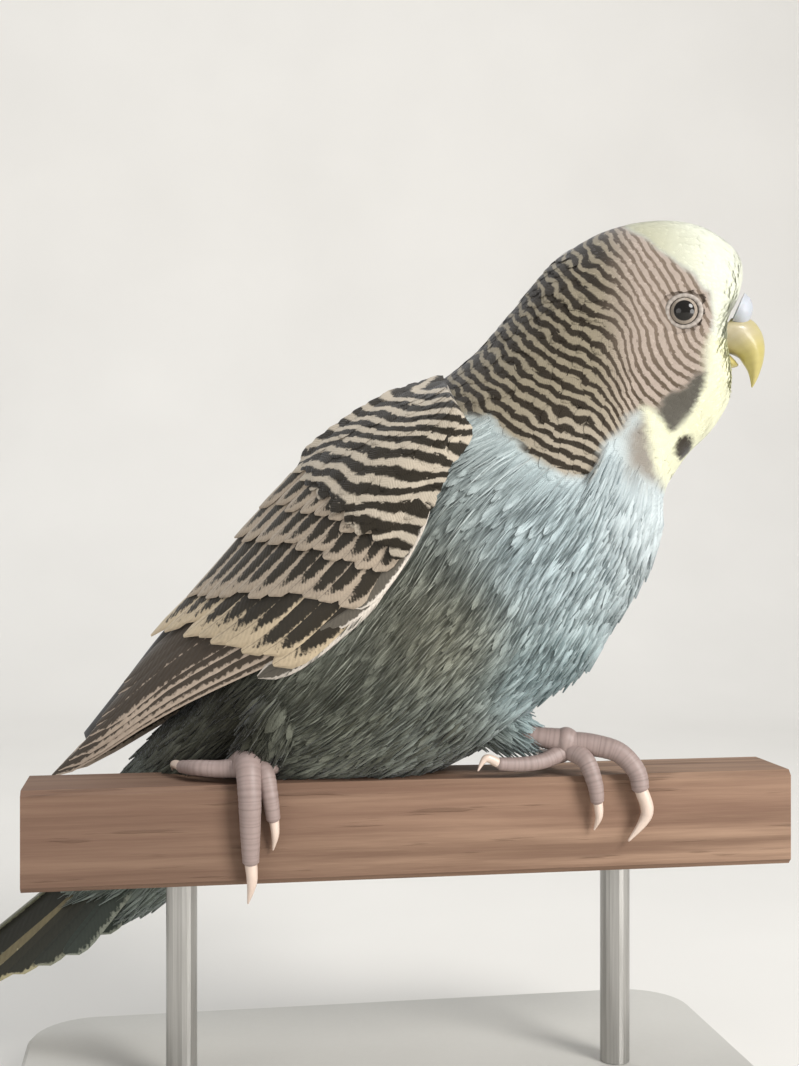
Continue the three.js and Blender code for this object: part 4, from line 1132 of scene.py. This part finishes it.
# %% Build the bill
# an outer point (along, up), an inner point (along, up), and the half-width
BILL = np.array([[59.2, 78.0, 55.9, 73.2, 4.9], [62.4, 77.7, 56.9, 72.9, 4.7],
                 [64.1, 75.7, 58.5, 72.2, 4.1], [64.7, 73.4, 60.3, 71.4, 3.3],
                 [64.6, 71.2, 61.2, 70.2, 2.5], [64.1, 69.2, 61.9, 69, 1.7],
                 [63.4, 67.4, 62.3, 67.6, 0.9], [62.7, 66.2, 62.5, 66.3, 0.12]])
LOWER_BILL = np.array([[56.2, 73.6, 56.6, 70.6, 3.4], [58, 72.6, 57.8, 69.9, 3.1],
                       [59.7, 71, 59.2, 69.6, 1.9], [60.4, 70.1, 60.2, 69.8, 0.3]])

def horn_piece(name, rows, rings=36, around=28):
    """Rings between an outer and an inner line, the ridge a little sharper than the sides."""
    q = np.linspace(0, len(rows) - 1, rings)
    row = smooth_row(rows, q)
    outer, inner = row[:, [0, 1]], row[:, [2, 3]]
    v = np.arange(around) * 2 * math.pi / around
    c, s = np.cos(v), np.sin(v)
    middle, half = (outer + inner) / 2, (outer - inner) / 2
    flat = middle[:, None] + half[:, None] * c[None, :, None]
    wide = np.maximum(row[:, 4], 0.1)[:, None] * s * (1 - 0.14 * np.clip(c, 0, 1) ** 2)
    points = np.stack([flat[..., 0], wide, flat[..., 1]], -1).reshape(-1, 3)
    grow = 0.5 + 0.5 * np.sin(q * 9)[:, None] * np.ones(around)
    # the bill is darker towards its sides and in faint bands across it; this is stored as its crease
    crease = 0.35 * np.abs(s)[None, :] * np.ones((rings, 1)) * 0.5 + 0.12 * grow
    piece = make_piece(name, to_row(points), ring_faces(rings, around))
    outward(piece)
    tone = ramp(q / (len(rows) - 1), 0.12, 0.5)[:, None] * np.ones(around)
    tone = np.maximum(tone, 0.9 * np.clip(c, 0, 1)[None, :] ** 2)
    store_crease(piece, crease.ravel(), tone.ravel())
    piece.data.materials.append(HORN)
    return piece

bill = [horn_piece("bill_top", BILL), horn_piece("bill_under", LOWER_BILL, 16, 20)]
print("bill faces:", [len(p.data.polygons) for p in bill])

# %% [markdown]
# ## The cere
# Over the bill sits the cere, a soft swelling of bare skin that holds the two nostrils. It's a low mound
# of rings standing out of the face, with a faint cleft at its top, and the nostrils are pushed in and
# darkened with painted shade.

# %% Build the cere
FACE_OUT, FACE_UP = np.array([0.919, 0, -0.394]), np.array([0.394, 0, 0.919])
# how far out of the face, half-height, half-width, and how far up it leans
CERE = np.array([[0.2, 3.3, 5.2, 0], [1.3, 3.25, 4.95, -0.1], [2.2, 2.6, 4.1, -0.3], [2.75, 1.4, 2.4, -0.5],
                 [2.9, 0.2, 0.3, -0.6]])
NOSTRIL = np.array([62.6, 2.1, 80.4])

def build_cere():
    q = np.linspace(0, 4, 30)
    row = smooth_row(CERE, q)
    v = np.arange(48) * 2 * math.pi / 48
    c, s = np.cos(v), np.sin(v)
    lobes = 1 - 0.10 * np.clip(c, 0, 1) ** 8 * (row[:, :1] > 0.6)
    middle = np.array([59.1, 0, 77.6]) + 1.75 * FACE_UP + FACE_OUT * row[:, :1] + FACE_UP * row[:, 3:4]
    p = (middle[:, None] + FACE_UP * (np.maximum(row[:, 1:2], 0.1) * c * lobes)[..., None]
         + np.array([0, 1, 0]) * (np.maximum(row[:, 2:3], 0.1) * s)[..., None])
    flat = p.reshape(-1, 3)
    mirrored = np.c_[flat[:, 0], np.abs(flat[:, 1]), flat[:, 2]]
    pit = ramp(np.linalg.norm(mirrored - NOSTRIL, axis=1), 1.05, 0.45)
    flat = flat - FACE_OUT * (0.8 * pit)[:, None]
    piece = make_piece("cere_soft", to_row(flat), ring_faces(30, 48))
    outward(piece)
    # the nostril pits are stored as creases, which the finish darkens: painted shade
    store_crease(piece, pit)
    piece.data.materials.append(CERE_SKIN)
    return piece

cere = build_cere()
print("cere faces:", len(cere.data.polygons))

# %% [markdown]
# ## Eyes
# The eye is a wet ball, nearly all pupil, with a narrow pale iris. A thin lid of bare skin rings it.
# The ball sits in the head as far as a real one does, so only its front shows.

# %% Build the eyes and lids
def eye_finish():
    f = Finish("wet_eye", 0.12, Coat_Weight=0.35, Coat_Roughness=0.03, Specular_IOR_Level=0.2)
    turn = f.number("ring", 0)
    speck = f.noise(f.place(), 4000, 3, 0.6)
    iris = f.mix(speck, srgb(176, 164, 150), srgb(120, 108, 96))
    band = f.math("MULTIPLY", f.step(turn, 0.60, 0.66), f.step(turn, 0.90, 0.82))
    dark = f.mix(speck, (0.006, 0.005, 0.004), (0.012, 0.010, 0.008))
    return f.done(f.mix(band, dark, iris))

def build_eye(side):
    a, b = np.meshgrid(np.linspace(0.02, math.pi - 0.02, 40), np.arange(40) * 2 * math.pi / 40,
                       indexing="ij")
    ball = np.stack([np.sin(a) * np.cos(b), side * np.cos(a), np.sin(a) * np.sin(b)], -1).reshape(-1, 3)
    at = EYE_AT * [1, side, 1]
    eye = make_piece("eye_ball_" + SIDES[side], to_row(at + 2.85 * ball),
                     ring_faces(40, 40), {"ring": np.stack([a.ravel(), 0 * a.ravel(), 0 * a.ravel()], -1)})
    eye.data.materials.append(EYE_WET)
    a, b = np.meshgrid(np.arange(56) * 2 * math.pi / 56, np.arange(14) * 2 * math.pi / 14, indexing="ij")
    fold = 0.40 + 0.02 * np.sin(a * 18)
    reach = 2.72 + fold * np.cos(b)
    ring = np.stack([reach * np.cos(a), side * (1.55 + 0.75 * fold * np.sin(b)),
                     0.94 * reach * np.sin(a)], -1)
    faces = [(i * 14 + j, i * 14 + (j + 1) % 14, (i + 1) % 56 * 14 + (j + 1) % 14, (i + 1) % 56 * 14 + j)
             for i in range(56) for j in range(14)]
    lid = make_piece("eyelid_" + SIDES[side], to_row(at + ring.reshape(-1, 3)), faces)
    outward(lid)
    # the lid's skin is darkened a little all over, and more in the dips between its small folds: painted
    # shade there
    store_crease(lid, 0.3 - 0.2 * np.sin(a * 18).ravel())
    lid.data.materials.append(LID_SKIN)
    return [eye, lid]

EYE_WET = eye_finish()
eyes = build_eye(-1) + build_eye(1)
print("eyes and lids:", len(eyes))

# %% [markdown]
# ## Feet
# A parrot's foot holds with two toes in front and two behind. Its skin is set with small plates
# across the toes, so each toe here is a tube whose radius swells at every plate. The claws are horn
# and curve round the perch. The left foot shows one long lifted toe, as in the picture.

# %% Paths of the shanks, toes and claws
# shank, toe paths, toe radii and claw paths; toes are front outer, front inner, hind outer, hind inner
FEET = {
    "right": ([[-21.0, -1.5, 12.0], [-23.6, -4.0, 7.0], [-25.4, -5.4, 3.4]],
              [[[-25.2, -5.2, 3.3], [-25.2, -8.4, 2.8], [-25.1, -10.4, -1.5], [-25.0, -10.3, -7.0],
                [-24.9, -10.0, -12.2]],
               [[-24.6, -5.2, 2.6], [-22.6, -8.3, 2.0], [-21.8, -9.8, -1.4], [-21.2, -9.7, -5.4]],
               [[-25.6, -5.2, 2.6], [-29.5, -5.0, 2.3], [-33.6, -3.2, 2.3], [-36.0, 0.2, 2.0]],
               [[-24.8, -4.6, 2.6], [-21.6, -4.2, 2.4], [-20.2, -1.0, 2.1], [-19.8, 3.6, 1.9]]],
              [[2.7, 2.2, 1.95, 1.7, 1.4], [1.9, 1.6, 1.4, 1.15], [1.8, 1.5, 1.35, 1.1],
               [1.7, 1.6, 1.3, 1.05]],
              [[[-24.9, -9.9, -12.2], [-24.7, -9.8, -15.6], [-25.3, -9.0, -19.2]],
               [[-21.1, -9.6, -5.4], [-20.9, -9.6, -8.0], [-21.2, -8.8, -10.6]],
               [[-36.1, 0.4, 2.0], [-37.3, 3.2, 2.0], [-37.5, 5.4, 0.6]],
               [[-19.8, 3.8, 1.9], [-19.5, 6.6, 2.0], [-19.4, 8.4, 0.4]]]),
    "left": ([[18.2, -2.0, 7.4], [23.4, -4.0, 6.6], [29.4, -5.5, 5.6]],
             [[[29.0, -5.5, 5.3], [33.6, -6.8, 5.1], [38.0, -8.4, 3.9], [40.6, -10.0, 0.9],
               [41.2, -10.4, -2.0]],
              [[29.6, -5.6, 4.4], [32.0, -8.6, 2.8], [33.2, -10.1, -0.8], [33.7, -10.1, -4.0]],
              [[29.0, -5.8, 4.0], [25.2, -7.0, 2.6], [21.2, -7.6, 2.2], [17.2, -7.8, 2.4]],
              [[29.8, -4.8, 4.2], [29.6, -1.6, 2.6], [28.8, 1.8, 2.0], [28.2, 4.6, 1.8]]],
             [[2.1, 1.95, 1.8, 1.65, 1.5], [1.9, 1.6, 1.4, 1.15], [1.6, 1.35, 1.25, 1.1],
              [1.6, 1.4, 1.2, 1.0]],
             [[[41.3, -10.3, -2.1], [42.4, -10.2, -6.4], [39.4, -9.6, -11.0]],
              [[33.8, -10.0, -4.0], [34.0, -10.0, -6.6], [33.4, -9.2, -9.0]],
              [[16.9, -7.8, 2.6], [14.8, -8.0, 3.4], [13.4, -8.2, 1.4]],
              [[28.1, 4.8, 1.8], [27.9, 7.4, 2.0], [27.8, 9.0, 0.3]]])}
LONG_CLAW = np.array([1.15, 1.05, 0.2])
CLAW_RADII = np.array([[1.05, 0.85, 0.15], [0.85, 0.65, 0.15], [0.85, 0.65, 0.15], [0.75, 0.6, 0.15]])

print("toes:", {label: len(rows[1]) for label, rows in FEET.items()})

# %% [markdown]
# ## Toes, plates and claws
# The plates are what tells a bird's toe from a sausage. The toe's path is walked at even steps, and its
# radius dips a little at each border between two plates. The dip is also stored as a crease, which the
# skin's finish darkens as painted shade. A claw is the same tube with no plates, drawn out to a point.

# %% Build the feet and claws
def plated(path, radii, pitch, around=16):
    """A limb along a smooth path with a plate across it at every pitch: points, faces, creases."""
    rows = np.hstack([np.asarray(path, float), np.asarray(radii, float)[:, None]])
    fine = smooth_row(rows, np.linspace(0, len(rows) - 1, 200))
    arc = np.r_[0, np.cumsum(np.linalg.norm(np.diff(fine[:, :3], axis=0), axis=1))]
    n = max(8, int(arc[-1] / 0.16))
    even = np.interp(np.linspace(0, arc[-1], n), arc, np.arange(200))
    row = np.stack([np.interp(even, np.arange(200), fine[:, k]) for k in range(4)], -1)
    along = np.linspace(0, arc[-1], n)
    plate = np.ones(n)
    if pitch:
        uneven = along + 0.25 * np.sin(along * 2.1) + 0.1 * np.sin(along * 5)
        plate = np.abs(np.sin(math.pi / pitch * uneven)) ** 0.5
    points, faces = tube(row[:, :3], row[:, 3] * (0.975 + 0.025 * plate), around, 0.7)
    crease = np.repeat(np.r_[0, 1 - plate, 0], around)
    return points, faces, crease

def build_foot(label):
    tarsus, toes, radii, claws = FEET[label]
    limbs = [plated(tarsus, [1.7, 1.6, 2.2], 0.9)]
    limbs += [plated(t, r, 0.72) for t, r in zip(toes, radii)]
    knuckle = np.array(tarsus[2])
    palm = [knuckle + [-1.6, 0.6, 0], knuckle, knuckle + [1.4, -0.5, -0.3]]
    limbs.append(plated(palm, [1.9, 2.5, 2.0], 1.1))
    made, nails = [], []
    for i, (path, reach) in enumerate(zip(claws, radii)):
        r = np.minimum(CLAW_RADII[i], reach[-1] * 0.8)
        if label == "left" and i == 0:
            r = LONG_CLAW
        nails.append(plated(path, r, 0, 14))
    for name, group, finish in (("foot_skin_", limbs, FOOT_SKIN), ("nails_", nails, CLAW_HORN)):
        points, faces = joined([(p, f) for p, f, _ in group])
        points = clear_of_perch(to_bird(points), 0.06)
        crease = np.concatenate([c for _, _, c in group])
        piece = make_piece(name + label, to_row(points), faces)
        # the creases between plates are darkened: painted shade
        store_crease(piece, crease * 0.45)
        piece.data.materials.append(finish)
        made.append(piece)
    return made

feet = build_foot("right") + build_foot("left")
print("feet faces:", [len(p.data.polygons) for p in feet])

# %% [markdown]
# ## Wood and stand
# The perch is a cut length of dry softwood: long grain, darker flecks, edges rubbed smooth, and painted
# shade over its left part. It and the plain stand keep the solids made before. Only their finish is new,
# through the materials they already carry.

# %% Finish the perch and the stand
def wood(name, pale, deep, low):
    f = Finish(name, 0.75, Specular_IOR_Level=0.3)
    grain = f.place((14, 420, 420))
    broad = f.noise(f.place((5, 90, 90)), 1.0, 3, 0.5)
    fine = f.noise(grain, 1.0, 5, 0.65)
    fleck = f.step(f.noise(f.place((60, 900, 900)), 1.0, 2, 0.5), 0.62, 0.72)
    colour = f.mix(f.step(fine, 0.3, 0.7), srgb(*deep), srgb(*pale))
    colour = f.mix(f.math("MULTIPLY", f.step(broad, 0.45, 0.7), 0.45), colour, srgb(*low))
    colour = f.mix(f.math("MULTIPLY", fleck, 0.4), colour, srgb(84, 62, 46))
    # the left part of the perch, away from the window lamp, is darkened: painted shade
    end = f.step(f.node("ShaderNodeSeparateXYZ", {0: f.place()}), 0.02, -0.05)
    colour = f.mix(f.math("MULTIPLY", end, 0.5), colour, srgb(*(0.72 * c for c in low)))
    rough = f.math("MULTIPLY_ADD", fine, 0.25, 0.6)
    return f.done(colour, f.math("ADD", fine, fleck), 0.5, 0.0003, rough)

def painted(name, tone):
    f = Finish(name, 0.5)
    grain = f.noise(f.place(), 900, 3, 0.6)
    cloud = f.noise(f.place(), 35, 3, 0.5)
    colour = f.mix(f.math("MULTIPLY", cloud, 0.35), srgb(*tone), srgb(*(0.82 * c for c in tone)))
    return f.done(colour, grain, 0.12, 0.0002, f.math("MULTIPLY_ADD", grain, 0.2, 0.4))

def brushed_metal(name):
    f = Finish(name, 0.32, Metallic=0.9)
    lines = f.noise(f.place((3000, 3000, 60)), 1.0, 2, 0.5)
    colour = f.mix(lines, srgb(150, 148, 144), srgb(192, 190, 186))
    return f.done(colour, lines, 0.1, 0.0001, f.math("MULTIPLY_ADD", lines, 0.2, 0.25))

def refinish(slot, mat):
    """Gives every solid that carries this slot's material the new finish."""
    for s in [s for o in bpy.data.objects for s in o.material_slots]:
        if s.material and s.material.name.split(".")[0].lower().endswith(slot):
            s.material = mat

STAND_FINISHES = {"perch": wood("worn_softwood", (152, 124, 103), (112, 86, 69), (120, 90, 74)),
                  "stand": painted("matt_grey_paint", (196, 194, 188)),
                  "rod": brushed_metal("brushed_rod")}
for slot, mat in STAND_FINISHES.items():
    refinish(slot, mat)
print("new finishes on solids:", [m.name for m in STAND_FINISHES.values()])

# %% [markdown]
# ## The stage
# A museum bird is best judged on a plain pale ground that takes nothing away from it. The floor bends up
# into the wall behind in one curve, as a photographer's paper roll does, so no corner line shows.

# %% Floor
def stage_floor():
    f = Finish("pale_floor", 0.8)
    cloud = f.noise(f.place(), 9, 3, 0.5)
    mat = f.done(f.mix(cloud, srgb(214, 211, 206), srgb(226, 223, 218)))
    turn = np.linspace(0, math.pi / 2, 14)
    profile = [(-1.2, 0.0)] + [(0.45 + 0.35 * math.sin(x), 0.35 - 0.35 * math.cos(x)) for x in turn]
    profile.append((0.8, 1.9))
    points = [(x, y, z) for y, z in profile for x in (-1.6, 1.6)]
    faces = [(2 * i, 2 * i + 1, 2 * i + 3, 2 * i + 2) for i in range(len(profile) - 1)]
    floor = make_piece("floor", points, faces)
    floor.data.materials.append(mat)
    return floor

floor = stage_floor()
print("floor faces:", len(floor.data.polygons))

# %% [markdown]
# ## Light
# A large lamp high on the right stands for a window. Three weaker ones fill its shadows: one above the
# back, one low on the right for the breast, and one low on the left for the tail. Each is a disk, as a
# large source gives the soft shadow edge that shows feathers best. A pale world adds the room's walls.

# %% Lamps and room light
def lamp(name, place, size, watts, tint, aim=(0, 0, 0.08)):
    light = bpy.data.lights.new(name, "AREA")
    light.shape, light.size, light.energy, light.color = "DISK", size, watts, tint
    o = bpy.data.objects.new(name, light)
    o.location = place
    o.rotation_euler = (Vector(place) - Vector(aim)).to_track_quat("Z", "Y").to_euler()
    bpy.context.scene.collection.objects.link(o)

LAMPS = {"window": ((0.55, -0.75, 0.75), 0.45, 10, (1.0, 0.985, 0.96)),
         "sky": ((-0.1, 0.25, 0.95), 0.7, 3.2, (0.95, 0.98, 1.0)),
         "fill": ((0.5, -0.6, 0.12), 0.4, 3.4, (1.0, 0.99, 0.97)),
         "bounce": ((-0.75, -0.6, 0.2), 0.6, 2.2, (1.0, 0.97, 0.93))}
for name, row in LAMPS.items():
    lamp(name, *row)
world = bpy.data.worlds.new("soft_room")
world.use_nodes = True
world.node_tree.nodes["Background"].inputs["Color"].default_value = (0.93, 0.96, 1, 1)
world.node_tree.nodes["Background"].inputs["Strength"].default_value = 0.42
bpy.context.scene.world = world
bpy.context.scene.view_settings.view_transform = "Standard"
print("lamps, watts:", {name: row[2] for name, row in LAMPS.items()})

# %% [markdown]
# ## Camera
# The camera stands where the photographer stood, about 24 cm from the bird and level with its
# shoulder. The lens is a little longer than a normal one, and everything stays in focus.

# %% Camera
shot = bpy.data.cameras.new("camera")
shot.lens, shot.sensor_width, shot.shift_y = 47.28, 36, 0.0028
camera = bpy.data.objects.new("camera", shot)
camera.location = (-0.03708, -0.2395, 0.10103)
camera.rotation_euler = (math.radians(90), 0, math.radians(-9.1))
shot.clip_start = 0.005
bpy.context.scene.collection.objects.link(camera)
bpy.context.scene.camera = camera
print("camera, mm:", [round(1000 * v) for v in camera.location])

# %% [markdown]
# ## Tie it to the frame
# Every piece rides on the part's one body, and a table says which solids some of them take the place of,
# which are hidden.

# %% Hand over
pieces = [skin, tail, cere] + coat + wings + bill + eyes + feet
claws = ["front_outer", "front_inner", "hind_outer", "hind_inner"]
stands_for = {"skin": ["head", "neck", "torso", "leg_left", "leg_right"], "tail_feathers": ["tail"],
              "wing_feathers_left": ["wing_left"], "wing_feathers_right": ["wing_right"],
              "bill_top": ["bill_upper"], "bill_under": ["bill_lower"], "cere_soft": ["cere"],
              "eye_ball_left": ["eye_left"], "eye_ball_right": ["eye_right"],
              "foot_skin_left": ["foot_left"], "foot_skin_right": ["foot_right"],
              "nails_left": ["claw_left_" + c for c in claws],
              "nails_right": ["claw_right_" + c for c in claws]}
for model in (feather_model, hair_model):
    bpy.data.objects.remove(model)
for piece in pieces:
    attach(piece, "root")
for piece, nodes in stands_for.items():
    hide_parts(*nodes)
